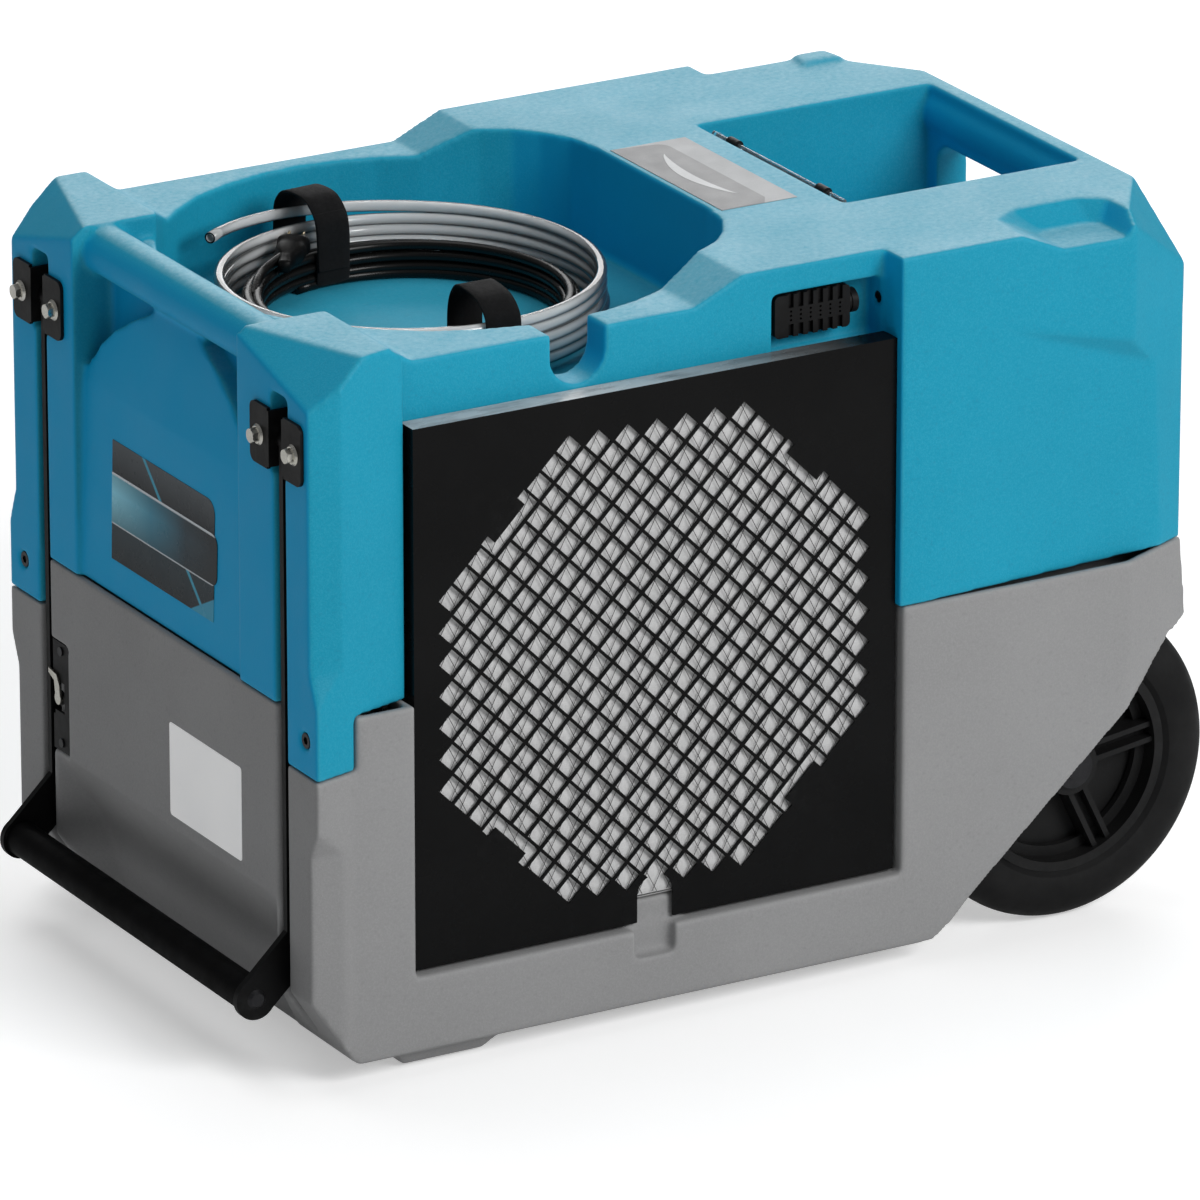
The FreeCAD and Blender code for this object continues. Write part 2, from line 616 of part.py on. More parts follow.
def handle_grip():
    # tube with a plug in each end
    y0, y1 = ARM_Y[0] + ARM_T / 2, ARM_Y[1] - ARM_T / 2
    grip = cyl(GRIP_X, y0, GRIP_Z, 14.5, y1 - y0, Y_DIR)
    grip = grip.cut(cyl(GRIP_X, y0 - 1, GRIP_Z, 12.0, y1 - y0 + 2, Y_DIR))
    for y in (y0, y1 - 8):
        grip = grip.fuse(cyl(GRIP_X, y, GRIP_Z, 12.5, 8, Y_DIR))
    for y in (y0 - 1, y1 - 19):
        grip = grip.cut(cyl(GRIP_X, y, GRIP_Z, GRIP_HOLE_R, 20, Y_DIR))
    return grip


def grip_screw(y, inward):
    return cyl(GRIP_X, y, GRIP_Z, 4.0, 13, (0, inward, 0)).fuse(
        cone(GRIP_X, y, GRIP_Z, 8, 5.5, 2.6, (0, -inward, 0)))


for side, y_arm in zip(("near", "far"), ARM_Y):
    save(side + "_handle_bracket", bracket(y_arm))
    save(side + "_handle_arm", handle_arm(y_arm))
save_group("bracket_bolts", [bracket_bolt(y + dy, PIVOT_Z)
                             for y in ARM_Y for dy in BRACKET_BOLT_DY])
save_group("pivot_pins", [pivot_pin(y) for y in ARM_Y])
save("handle_grip", handle_grip())
save_group("grip_screws", [grip_screw(ARM_Y[0] - ARM_T / 2, 1),
                           grip_screw(ARM_Y[1] + ARM_T / 2, -1)])

# ---------------------------------------------------------------- latch, leg screws
HOOK_Y, HOOK_Z = 439, -72
HOOK_PIN_R = 2.0
LATCH_SCREW_Y = 436
LATCH_SCREW_Z = (-31, -110)


def latch_plate():
    x0, x1 = 1.5, 3.9
    plate = box(x0, 4.0, 422.6, 449.8, -117.4, -23.6).cut(box(-5, 10, 431, 450, -88, -58))
    for z in LATCH_SCREW_Z:
        plate = plate.cut(cyl(0, LATCH_SCREW_Y, z, 2.2, 9, X_DIR))
    plate = plate.fuse(box(x0, x1, 431, 447, -88, -84)).fuse(box(x0, x1, 427, 434, -75, -69))
    # boss that carries the hook
    plate = plate.fuse(cyl(x0, HOOK_Y, HOOK_Z, 6, 2.4, X_DIR))
    plate = plate.fuse(box(x0, x1, 431, 440, -75, -69))
    return plate.cut(cyl(-2, HOOK_Y, HOOK_Z, HOOK_PIN_R + RUN, 9, X_DIR))


def latch_hook():
    hook = cyl(-0.6, HOOK_Y, HOOK_Z, 5.2, 1.8, X_DIR)
    hook = hook.fuse(cyl(-0.6, HOOK_Y, HOOK_Z, HOOK_PIN_R, 5.0, X_DIR))
    return hook.fuse(prism_yz([(435, -70), (443, -70), (445, -58), (454.5, -54),
                               (454.5, -50), (441, -52), (436, -60)], -0.6, 1.2))


def latch_screw(z):
    return cyl(0.2, LATCH_SCREW_Y, z, 3.8, 1.3, X_DIR).fuse(
        cyl(1.4, LATCH_SCREW_Y, z, 2.0, 2.5, X_DIR))


def leg_screw(y):
    # countersunk, with a hexagon socket
    screw = cone(3.9, y, LEG_SCREW_Z, 6.8, 6.2, 2.6, (-1, 0, 0)).fuse(
        cyl(3.8, y, LEG_SCREW_Z, 4.4, 22, X_DIR))
    return screw.cut(prism_yz(hexagon(y, LEG_SCREW_Z, 3.4, 0), 0, 3.0))


save("latch_plate", latch_plate())
save("latch_hook", latch_hook())
save_group("latch_screws", [latch_screw(z) for z in LATCH_SCREW_Z])
save_group("leg_screws", [leg_screw(y) for y in LEG_SCREW_Y])

# ---------------------------------------------------------------- wheels, feet
BUSH_R = 12
# radius, offset from the middle plane, on a section PROFILE_W wide
TYRE_PROFILE = [(92, -20), (96, -25), (108, -28), (120, -25.5), (129, -18), (133.4, -8),
                (134, 0), (133.4, 8), (129, 18), (120, 25.5), (108, 28), (96, 25), (92, 20)]
PROFILE_W = 56.0


def tyre(y):
    points = [Vector(AXLE_X + r, y + offset * TYRE_W / PROFILE_W, AXLE_Z)
              for r, offset in TYRE_PROFILE]
    tread = Part.BSplineCurve()
    tread.interpolate(points[1:-1])
    edges = [Part.LineSegment(points[0], points[1]).toShape(), tread.toShape(),
             Part.LineSegment(points[-2], points[-1]).toShape(),
             Part.LineSegment(points[-1], points[0]).toShape()]
    solid = Part.Face(Part.Wire(edges)).revolve(Vector(AXLE_X, y, AXLE_Z),
                                                Vector(*Y_DIR), 360)
    if solid.Volume < 0:
        solid.reverse()
    return solid


def wheel_rim(y, web_offset):
    rim = tube(AXLE_X, y - 18, AXLE_Z, 92, 84, 36, Y_DIR)
    rim = rim.fuse(tube(AXLE_X, y - 3, AXLE_Z, 87, 75, 6, Y_DIR))
    rim = rim.fuse(cyl(AXLE_X, y - 25.5, AXLE_Z, 24, 51, Y_DIR))
    # flat web closing the wheel between hub and rim
    rim = rim.fuse(tube(AXLE_X, y + web_offset, AXLE_Z, 85, 20, 4, Y_DIR))
    x0, x1 = AXLE_X + 15, AXLE_X + 86
    for n in range(5):
        # two flanges joined by a rib
        spoke = box(x0, x1, y - 14, y + 14, AXLE_Z - 9, AXLE_Z - 4.5)
        spoke = spoke.fuse(box(x0, x1, y - 14, y + 14, AXLE_Z + 4.5, AXLE_Z + 9))
        spoke = spoke.fuse(box(x0, x1 - 0.5, y - 2.5, y + 2.5, AXLE_Z - 8, AXLE_Z + 8))
        rim = rim.fuse(turned(spoke, (AXLE_X, y, AXLE_Z), Y_DIR, -(8 + 72 * n)))
    return rim.cut(cyl(AXLE_X, y - 30, AXLE_Z, BUSH_R + RUN, 60, Y_DIR))


save("axle", cyl(AXLE_X, 24.0, AXLE_Z, AXLE_R, 462, Y_DIR))
for side, y_wheel, web_offset in zip(("near", "far"), WHEEL_Y, (6, -10)):
    save(side + "_tyre", tyre(y_wheel), False)
    save(side + "_rim", wheel_rim(y_wheel, web_offset))
save_group("wheel_bushes", [tube(AXLE_X, y - 26.5, AXLE_Z, BUSH_R, AXLE_R, 53, Y_DIR)
                            for y in WHEEL_Y])
save_group("axle_caps", [tube(AXLE_X, y, AXLE_Z, 17, AXLE_R, 2.6, Y_DIR)
                         for y in (WHEEL_Y[0] - 29.6, WHEEL_Y[1] + 27.0)])
FOOT_TOP = -261.2
save_group("rubber_feet", [cone(FOOT_X, y, FOOT_TOP, 21, 19, FOOT_TOP - Z_FLOOR, (0, 0, -1))
                           for y in FOOT_Y])

# ---------------------------------------------------------------- hose, cord, straps
COIL_X = 245.0          # centre of the coiled hose and cord
Z_REST = WELL_FLOOR + 0.5


def power_plug():
    plug = rounded_box(176, 216, 392, 408, Z_REST + 30, Z_REST + 46, 4, axis=0)
    return turned(plug, (196, 400, 270), Z_DIR, 25)


def strap(angle, r_in, r_out, height):
    # inverted U over the coil, lying radially at the given angle
    sheet = 2.2
    shape = box(r_in, r_out, -15.5, 15.5, Z_REST, Z_REST + height).cut(
        box(r_in + sheet, r_out - sheet, -19, 19, Z_REST - 1, Z_REST + height - sheet))
    turned(shape, (0, 0, 0), Z_DIR, angle)
    shape.translate(Vector(COIL_X, WELL_Y, 0))
    return shape


save("drain_hose", tube(COIL_X, WELL_Y, Z_REST + 0.5, 157, 140, 49, Z_DIR))
save("power_cord", tube(COIL_X, WELL_Y, Z_REST, 137, 118, 29, Z_DIR))
save("power_plug", power_plug())
save("hose_strap", strap(94.0, 113.0, 184.0, 74.0))
save("cord_strap", strap(-92.0, 89.0, 161.0, 71.0))

# ---------------------------------------------------------------- control panel
# drawn flat (x down the slope, y across, z off its face), then laid on the
# sloping wall of the control pocket
SLOPE_ANGLE = math.degrees(math.atan2(68, 70))
KEYS = (("power_key", 30), ("up_key", 65), ("down_key", 100), ("mode_key", 135),
        ("pump_key", 170))      # name, place across the slope
KEY_X = 64
HINGE_X, HINGE_Z = 4.0, 8.0
HINGE_PIN_R = 2.0


def on_slope(shape):
    slope = FreeCAD.Placement(Vector(566, 171, 330),
                              FreeCAD.Rotation(Vector(0, 1, 0), SLOPE_ANGLE))
    shape.Placement = slope.multiply(shape.Placement)
    return shape


def control_panel():
    panel = box(6, 90, 4, 196, 0.05, 3.0)
    panel = panel.cut(box(14, 42, 50, 150, 2.0, 4))
    for _, y in KEYS:
        panel = panel.cut(cyl(KEY_X, y, -1, 8.0, 6, Z_DIR))
    return panel


def key_cap(y):
    key = cyl(KEY_X, y, 1.4, 7.6, 3.6, Z_DIR)
    return key.makeFillet(1.0, [e for e in key.Edges if e.BoundBox.ZLength < 0.01
                                and e.BoundBox.ZMax > 4.9 and e.Length > 20])


def control_lid():
    lid = box(9, 90, 0, 200, 7.0, 9.5)
    lid = lid.fuse(box(86, 90, 0, 200, 5.4, 9.5))
    lid = lid.fuse(cyl(HINGE_X, -3, HINGE_Z, HINGE_PIN_R, 206, Y_DIR))
    # webs between the lid and its hinge rod, clear of the hinges
    for y0, y1 in ((0, 18), (42, 158), (182, 200)):
        lid = lid.fuse(box(HINGE_X, 10, y0, y1, 7.0, 9.0))
    return lid


def lid_hinge(y):
    bore_r = HINGE_PIN_R + RUN
    knuckle = tube(HINGE_X, y - 7, HINGE_Z, 4.4, bore_r, 14, Y_DIR)
    base = box(HINGE_X - 3.6, HINGE_X + 1.8, y - 7, y + 7, 0.3, 4.9)
    return knuckle.fuse(base.cut(cyl(HINGE_X, y - 9, HINGE_Z, bore_r, 18, Y_DIR)))


save("control_panel", on_slope(control_panel()))
save("display_window", on_slope(box(14.2, 41.8, 50.2, 149.8, 2.0, 3.4)))
for name, y in KEYS:
    save(name, on_slope(key_cap(y)))
save("control_lid", on_slope(control_lid()))
save_group("lid_hinges", [on_slope(lid_hinge(y)) for y in (30, 170)])


# ---------------------------------------------------------------- sensor, labels
def humidity_sensor():
    sensor = rounded_box(434.5, 503.5, 41, 60.6, 278, 313, 4, axis=1)
    slot_w = 4.6
    for k in range(6):
        x = 447.0 + k * 9.0
        for z0, z1 in ((302.0, 314.0), (277.0, 288.5)):
            sensor = sensor.cut(box(x, x + slot_w, 40, 44.5, z0, z1))
        for z in (299.0, 295.4, 291.8):
            sensor = sensor.cut(cyl(x + slot_w / 2, 40, z, 1.0, 4, Y_DIR))
    return sensor


def sensor_gland():
    gland = cyl(503.6, 51, 296, 9.0, 3, X_DIR).fuse(cyl(506.5, 51, 296, 10.0, 5.5, X_DIR))
    return gland.cut(cyl(508.5, 51, 296, 4.0, 6, X_DIR))


def front_label():
    # follows the lean of the end panel
    x_low, x_high = 4.74, 7.14
    return prism_xz([(x_low - 0.45, 76), (x_low - 0.05, 76), (x_high - 0.05, 176),
                     (x_high - 0.45, 176)], 178, 350)


save("humidity_sensor", humidity_sensor())
save("sensor_gland", sensor_gland())
save("top_label", box(470, 540, 184, 362, Z_DECK + 0.02, Z_DECK + 0.4))
save("front_label", front_label())
save("rating_label", box(-0.4, -0.03, 126, 246, -107, -28))


# ---------------------------------------------------------------- coils, trays, pump
def coil(y0, y1, y_tube_a, y_tube_b):
    # finned block with the tube ends standing out at both ends
    x0, x1 = 112, 514
    fin_t, half_core = 2.0, 0.8
    count = 37
    pitch = (x1 - x0) / count
    y_mid = (y0 + y1) / 2
    gaps = []
    for k in range(count):
        gap0 = x0 + k * pitch + fin_t
        gap1 = gap0 + pitch - fin_t if k < count - 1 else x1 - fin_t
        gaps.append(box(gap0, gap1, y0 - 1, y_mid - half_core, -160, 185))
        gaps.append(box(gap0, gap1, y_mid + half_core, y1 + 1, -160, 185))
    block = box(x0, x1, y0, y1, -165, 190).cut(Part.makeCompound(gaps))
    for k in range(8):
        z = -145 + k * 44
        block = block.fuse(Part.makeCompound(
            [cyl(x, y, z + rise, 5, 9, X_DIR) for x in (104, 513)
             for y, rise in ((y_tube_a, 0), (y_tube_b, 14))]))
    return block


def exhaust_grille():
    grille = tube(FAN_X, 524, FAN_Z, FAN_R - 0.5, FAN_R - 7, 4.6, Y_DIR)
    for r in range(12, int(FAN_R - 8), 14):
        grille = grille.fuse(tube(FAN_X, 525, FAN_Z, r + 1.3, r - 1.3, 2.6, Y_DIR))
    for n in range(4):
        bar = box(FAN_X - FAN_R + 4, FAN_X + FAN_R - 4, 524, 526.4, FAN_Z - 1.8, FAN_Z + 1.8)
        grille = grille.fuse(turned(bar, (FAN_X, 525, FAN_Z), Y_DIR, 45 * n))
    return grille


def drain_tray():
    # open tray on two legs
    tray = box(100, 528, 58, 158, -196, -172).cut(box(102, 526, 60, 156, -194, -170))
    for x in (120, 500):
        tray = tray.fuse(box(x, x + 10, 62, 154, -243, -195.5))
    return tray


def condensate_pump():
    pump = rounded_box(120, 230, 190, 260, -242.9, -170, 6, axis=2)
    pump = pump.fuse(cyl(150, 225, -171, 22, 34, Z_DIR))
    return pump.fuse(cyl(205, 225, -171, 5, 20, Z_DIR))


save("exhaust_grille", exhaust_grille())
# floor, upright and raised shelf of the base pan
save("base_pan", fuse([box(62, 546, 60, 478, -245, -243.2),
                       box(544.2, 546, 60, 478, -245, -96),
                       box(544.2, 764, 100, 410, -97.8, -96)]))
save("evaporator_coil", coil(66, 100, 75, 91))
save("condenser_coil", coil(112, 150, 122, 139))
save("drain_tray", drain_tray())
save("condensate_pump", condensate_pump())

# ---------------------------------------------------------------- compressor circuit
GROMMETS = [(603, 212), (717, 212), (660, 322)]     # x, y


def compressor():
    body = cyl(660, 255, -66, 62, 184, Z_DIR)
    body = body.makeFillet(28.0, [e for e in body.Edges if e.BoundBox.ZMin > 100
                                  and e.BoundBox.ZLength < 1])
    body = body.fuse(prism_xy([(590, 200), (730, 200), (700, 330), (620, 330)], -70, -65.5))
    body = body.fuse(cyl(708, 280, 20, 20, 60, Z_DIR)).fuse(box(590, 604, 235, 275, 0, 45))
    for x, y in GROMMETS:
        body = body.cut(cyl(x, y, -80, 6.0, 20, Z_DIR))
    return body


def filter_drier():
    x, y = 90, 190
    return fuse([cyl(x, y, 0, 13, 110, Z_DIR),
                 cone(x, y, 110, 13, 4, 16, Z_DIR), cone(x, y, 0, 13, 4, 16, (0, 0, -1)),
                 cyl(x, y, 120, 3.5, 40, Z_DIR), cyl(x, y, -60, 3.5, 50, Z_DIR)])


save("compressor", compressor())
save_group("compressor_grommets", [cyl(x, y, -95.9, 12, 25.8, Z_DIR).fuse(
    cyl(x, y, -71, 5.9, 8, Z_DIR)) for x, y in GROMMETS])
save_group("refrigerant_lines", [
    pipe([(680, 190, 70), (680, 160, 70), (536, 160, 70), (536, 131, 70),
          (522.5, 131, 70)], 4.5),
    pipe([(640, 190, 30), (640, 172, 30), (531, 172, 30), (531, 83, 0), (522.5, 83, 0)], 4.0)])
save("filter_drier", filter_drier())

# ---------------------------------------------------------------- fan
SHAFT_R = 6


def fan_shroud():
    shroud = tube(FAN_X, 430, FAN_Z, 140, 134, 66, Y_DIR)
    shroud = shroud.fuse(tube(FAN_X, 493, FAN_Z, 146, 134, 3, Y_DIR))
    # three arms to the ring that holds the motor, and a foot down to the pan
    for n in range(3):
        arm = box(FAN_X + 48, FAN_X + 138, 424, 431, FAN_Z - 8, FAN_Z + 8)
        shroud = shroud.fuse(turned(arm, (FAN_X, 427, FAN_Z), Y_DIR, 30 + 120 * n))
    shroud = shroud.fuse(tube(FAN_X, 418, FAN_Z, 54, 46.2, 13, Y_DIR))
    return shroud.fuse(box(FAN_X - 10, FAN_X + 10, 431, 496, -243, FAN_Z - 136))


def fan_motor():
    motor = cyl(FAN_X, 350, FAN_Z, 46, 80, Y_DIR).fuse(cyl(FAN_X, 430, FAN_Z, 14, 4, Y_DIR))
    motor = motor.fuse(cyl(FAN_X, 342, FAN_Z, 30, 10, Y_DIR))
    return motor.cut(cyl(FAN_X, 400, FAN_Z, SHAFT_R + RUN, 60, Y_DIR))


def fan_impeller():
    impeller = cyl(FAN_X, 436, FAN_Z, 38, 42, Y_DIR).fuse(
        cyl(FAN_X, 402, FAN_Z, SHAFT_R, 40, Y_DIR))
    centre = (FAN_X, 457, FAN_Z)
    for n in range(5):
        blade = box(FAN_X + 30, FAN_X + 124, 455, 458.5, FAN_Z - 30, FAN_Z + 30)
        turned(blade, centre, X_DIR, 28)
        impeller = impeller.fuse(turned(blade, centre, Y_DIR, 72 * n))
    return impeller


save("fan_shroud", fan_shroud())
save("fan_motor", fan_motor())
save("fan_impeller", fan_impeller())


# ---------------------------------------------------------------- electrics
def control_box():
    case = rounded_box(565, 778, 118, 392, 145, 214, 5, axis=2)
    case = case.cut(box(570, 773, 123, 387, 150, 211))
    return case.fuse(box(571, 600, 170, 340, 211, 213))


save("control_box", control_box())
save("start_capacitor", cyl(600, 330, 40, 20, 90, Z_DIR))
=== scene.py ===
"""A portable dehumidifier on two wheels, with its hose and cord coiled on top.

It lies along x with the handle end at low x, the near side at low y and z up. Places on
the body are given in datum millimetres: x from the handle end, y from the near post, z
from the leg corner. Sizes are in metres.
"""
import math
import random

import bmesh
import bpy
from mathutils import Matrix, Vector, noise


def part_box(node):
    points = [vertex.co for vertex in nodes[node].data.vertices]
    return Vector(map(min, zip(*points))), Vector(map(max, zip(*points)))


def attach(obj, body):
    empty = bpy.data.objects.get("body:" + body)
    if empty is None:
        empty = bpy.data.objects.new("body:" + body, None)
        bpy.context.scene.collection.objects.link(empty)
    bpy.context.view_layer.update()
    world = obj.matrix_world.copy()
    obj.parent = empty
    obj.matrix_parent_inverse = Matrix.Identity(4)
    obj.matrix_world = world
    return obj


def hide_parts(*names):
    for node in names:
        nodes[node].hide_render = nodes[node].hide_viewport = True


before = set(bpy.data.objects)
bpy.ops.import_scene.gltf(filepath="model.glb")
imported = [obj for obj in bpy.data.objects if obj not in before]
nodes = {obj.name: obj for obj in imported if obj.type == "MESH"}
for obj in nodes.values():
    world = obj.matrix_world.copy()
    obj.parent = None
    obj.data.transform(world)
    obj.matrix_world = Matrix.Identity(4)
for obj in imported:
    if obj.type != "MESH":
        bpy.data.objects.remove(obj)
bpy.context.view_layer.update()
random.seed(7)

# ---------------------------------------------------------------- datum
COIL_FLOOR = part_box("drain_hose")[0].z
COIL_FLOOR_MM = 249.0  # datum height of the coil's underside
DATUM_OFFSET = (-398.25, -265.0, COIL_FLOOR * 1000.0 - COIL_FLOOR_MM)  # mm


def place(x, y, z):
    """Scene position of a point in datum millimetres."""
    return Vector([(v + offset) / 1000.0 for v, offset in zip((x, y, z), DATUM_OFFSET)])


# ---------------------------------------------------------------- node helpers
MATERIALS = {}  # filled by Material, by material name


def shade(colour, gain=1.0, add=0.0):
    """Scale a colour, then raise every channel."""
    return tuple(channel * gain + add for channel in colour)


class Material:
    """A Principled material with helpers for the nodes that feed it.

    span is the input range of a remap and to is its output range.
    """

    def __init__(self, name):
        data = MATERIALS[name] = bpy.data.materials.new(name)
        data.use_nodes = True
        self.tree = data.node_tree
        self.tree.nodes.clear()
        output = self.node("OutputMaterial")
        self.shader = self.node("BsdfPrincipled")
        self.feed(output.inputs[0], self.shader.outputs[0])
        self.position = self.node("TexCoord").outputs["Object"]
        self.normal = None

    def node(self, kind):
        return self.tree.nodes.new("ShaderNode" + kind)

    def feed(self, socket, value):
        """Link a node output to the socket, or store a colour (tuple) or plain value."""
        if hasattr(value, "is_output"):
            self.tree.links.new(value, socket)
        elif isinstance(value, tuple):
            socket.default_value = (*value, 1.0)
        else:
            socket.default_value = value

    def set(self, key, value):
        self.feed(self.shader.inputs[key], value)

    def noise(self, scale, detail=4, rough=0.6, stretch=None, distortion=0.0):
        vector = self.position
        if stretch:
            mapping = self.node("Mapping")
            self.feed(mapping.inputs["Scale"], Vector(stretch))
            self.feed(mapping.inputs["Vector"], vector)
            vector = mapping.outputs[0]
        texture = self.node("TexNoise")
        for key, value in (("Scale", scale), ("Detail", detail), ("Roughness", rough),
                           ("Distortion", distortion), ("Vector", vector)):
            self.feed(texture.inputs[key], value)
        return texture.outputs[0]

    def ramp(self, factor, stops):
        """Colour ramp; each stop is (position, grey level or colour)."""
        node = self.node("ValToRGB")
        elements = node.color_ramp.elements
        while len(elements) < len(stops):
            elements.new(0.5)
        for k, (position, colour) in enumerate(stops):
            if not isinstance(colour, tuple):
                colour = (colour, colour, colour)
            elements[k].position = position
            elements[k].color = (*colour, 1.0)
        self.feed(node.inputs[0], factor)
        return node.outputs[0]

    def mix(self, factor, under, over, blend="MIX"):
        node = self.node("Mix")
        node.data_type = "RGBA"
        node.blend_type = blend
        # the colour sockets of a Mix node are inputs 6 and 7 and output 2
        for index, value in ((0, factor), (6, under), (7, over)):
            self.feed(node.inputs[index], value)
        return node.outputs[2]

    def calc(self, operation, a, b=0.0):
        node = self.node("Math")
        node.operation = operation
        for socket, value in zip(node.inputs, (a, b, 0.0)):
            self.feed(socket, value)
        return node.outputs[0]

    def remap(self, value, span=(0.3, 0.7), to=(0, 1)):
        node = self.node("MapRange")
        for index, number in enumerate((value, *span, *to)):
            self.feed(node.inputs[index], number)
        return node.outputs[0]

    def tone(self, mask, under, over, span=(0.3, 0.7), to=(0, 1)):
        """Lay one colour over another through a remapped mask."""
        return self.mix(self.remap(mask, span, to), under, over)

    def roughness(self, to, **noise_settings):
        self.set("Roughness", self.remap(self.noise(**noise_settings), to=to))

    def bump(self, height, strength, distance):
        """Add a bump layer on top of any earlier one."""
        node = self.node("Bump")
        self.feed(node.inputs["Strength"], strength)
        self.feed(node.inputs["Distance"], distance)
        self.feed(node.inputs["Height"], height)
        if self.normal is not None:
            self.feed(node.inputs["Normal"], self.normal)
        self.normal = node.outputs[0]
        self.set("Normal", self.normal)

    def split(self, vector=None):
        """The X, Y and Z outputs of a vector, the object position by default."""
        node = self.node("SeparateXYZ")
        self.feed(node.inputs[0], vector or self.position)
        return node.outputs

    def along(self, position, axis, low, high, to=(0, 1)):
        """Remap a split position between two datum millimetres on one axis."""
        offset = DATUM_OFFSET["XYZ".index(axis)]
        span = ((low + offset) / 1000.0, (high + offset) / 1000.0)
        return self.remap(position[axis], span, to)

    def edge_wear_and_highlight(self, edges, scale, span, to):
        """Mask of the sharp edges, broken up by noise."""
        pointiness = self.node("NewGeometry").outputs["Pointiness"]
        patches = self.remap(self.noise(scale=scale), span, to)
        return self.calc("MULTIPLY", self.remap(pointiness, edges), patches)


# ---------------------------------------------------------------- materials
def shell_material(name, base, light, dark, top_sheen_colour, end_shade_tint=None, painted_bore_shadow=None):
    """Rotomoulded polyethylene: pebble grain, edges lightened for wear and as a painted highlight,
    and a painted pale sheen on high top faces.

    Faces towards low x, the end in shade, take a painted bluer shade tint; the hole is a (centre,
    radius) where a painted dark disc stands for the shadow in a bore.
    """
    m = Material(name)
    cloud = m.noise(scale=3.2)
    grain = m.noise(scale=620, detail=3, rough=0.7)
    colour = m.tone(cloud, shade(base, 0.95), shade(base, 1.05), span=(0.35, 0.65))
    colour = m.tone(grain, colour, light, span=(0.42, 0.70), to=(0.0, 0.30))
    specks = m.noise(scale=310, detail=2)
    colour = m.tone(specks, colour, dark, span=(0.58, 0.74), to=(0.0, 0.25))
    scuffs = m.noise(scale=26, detail=6, rough=0.75, stretch=(1, 1, 9), distortion=0.6)
    colour = m.tone(scuffs, colour, light, span=(0.67, 0.72), to=(0.0, 0.18))
    # sharp edges lightened, partly for wear and partly as a painted highlight along the edges
    edge_wear_and_highlight = m.edge_wear_and_highlight(edges=(0.515, 0.60), scale=40, span=(0.3, 0.62), to=(0.25, 0.75))
    colour = m.mix(edge_wear_and_highlight, colour, shade(light, 1.1))
    normal = m.node("NewGeometry").outputs["Normal"]
    # painted shade: faces towards low x, the end in shadow, turn a deeper blue
    if end_shade_tint:
        facing = m.split(normal)["X"]
        colour = m.tone(facing, colour, end_shade_tint, span=(-0.5, -0.97), to=(0.0, 0.85))
    # painted sheen: faces turned up on the high top take a pale overlay that stands in for the
    # light from above
    level = m.remap(m.split(normal)["Z"], span=(0.80, 0.985))
    high = m.along(m.split(), "Z", 255, 300, to=(0.15, 1.0))
    patches = m.remap(m.noise(scale=210, rough=0.7), to=(0.12, 0.30))
    painted_top_sheen = m.calc("MULTIPLY", m.calc("MULTIPLY", level, high), patches)
    colour = m.mix(painted_top_sheen, colour, top_sheen_colour)
    # painted shadow: a near-black disc stands in for the shade inside a bore
    if painted_bore_shadow:
        centre, radius = painted_bore_shadow
        distance = m.node("VectorMath")
        distance.operation = "DISTANCE"
        m.feed(distance.inputs[0], m.position)
        m.feed(distance.inputs[1], centre)
        colour = m.tone(distance.outputs["Value"], colour, (0.002, 0.003, 0.004),
                        span=(radius * 0.9, radius), to=(1.0, 0.0))
    m.set("Base Color", colour)
    m.roughness(to=(0.42, 0.56), scale=18, detail=5)
    m.set("Specular IOR Level", 0.12)
    m.bump(m.noise(scale=14, detail=3, rough=0.5), strength=0.25, distance=0.0014)
    m.bump(grain, strength=0.42, distance=0.00042)


def paint_material(name, base, rough, grain, bump, coat, dust, metallic, specular, lip=False):
    """Sprayed or powder-coated finish: orange peel, fine grain, a little dust."""
    m = Material(name)
    broad = m.noise(scale=9, detail=5)
    fine = m.noise(scale=grain, detail=2)
    colour = m.tone(broad, base, shade(base, add=dust), span=(0.4, 0.72))
    speck = shade(base, 1.6, add=dust * 0.5)
    colour = m.tone(fine, colour, speck, span=(0.55, 0.75), to=(0, 0.5))
    edge_wear_and_highlight = m.edge_wear_and_highlight(edges=(0.56, 0.70), scale=90, span=(0.45, 0.65), to=(0.0, 0.3))
    colour = m.mix(edge_wear_and_highlight, colour, shade(base, add=0.04))
    if lip:
        # faces turned up catch the light, most of all towards the handle end
        normal = m.node("NewGeometry").outputs["True Normal"]
        upward = m.remap(m.split(normal)["Z"], span=(0.85, 0.97))
        run = m.along(m.split(), "X", 300, 505, to=(1.0, 0.0))
        patches = m.noise(scale=22, stretch=(1, 4, 4))
        patches = m.remap(patches, span=(0.32, 0.55), to=(0.55, 1.0))
        lit = m.calc("MULTIPLY", m.calc("MULTIPLY", upward, run), patches)
        colour = m.mix(lit, colour, (0.50, 0.54, 0.56))
    m.set("Base Color", colour)
    m.set("Metallic", metallic)
    m.set("Specular IOR Level", specular)
    m.roughness(to=rough, scale=30, detail=5, rough=0.65)
    m.set("Coat Weight", coat)
    m.set("Coat Roughness", 0.15)
    orange_peel = m.noise(scale=240, detail=2, rough=0.5)
    m.bump(orange_peel, strength=bump * 0.6, distance=0.0006)
    m.bump(fine, strength=bump, distance=0.0002)


def metal_material(name, base, stain, rough, stretch, grain, bump):
    m = Material(name)
    broad = m.noise(scale=35, detail=5)
    brushed = m.noise(scale=grain, detail=3, stretch=stretch)
    colour = m.tone(broad, base, stain or shade(base, 0.8), span=(0.35, 0.7))
    colour = m.tone(brushed, colour, shade(base, 1.2), to=(0, 0.35))
    m.set("Base Color", colour)
    m.set("Metallic", 1.0)
    m.roughness(to=rough, scale=120)
    m.bump(brushed, strength=bump, distance=0.0003)


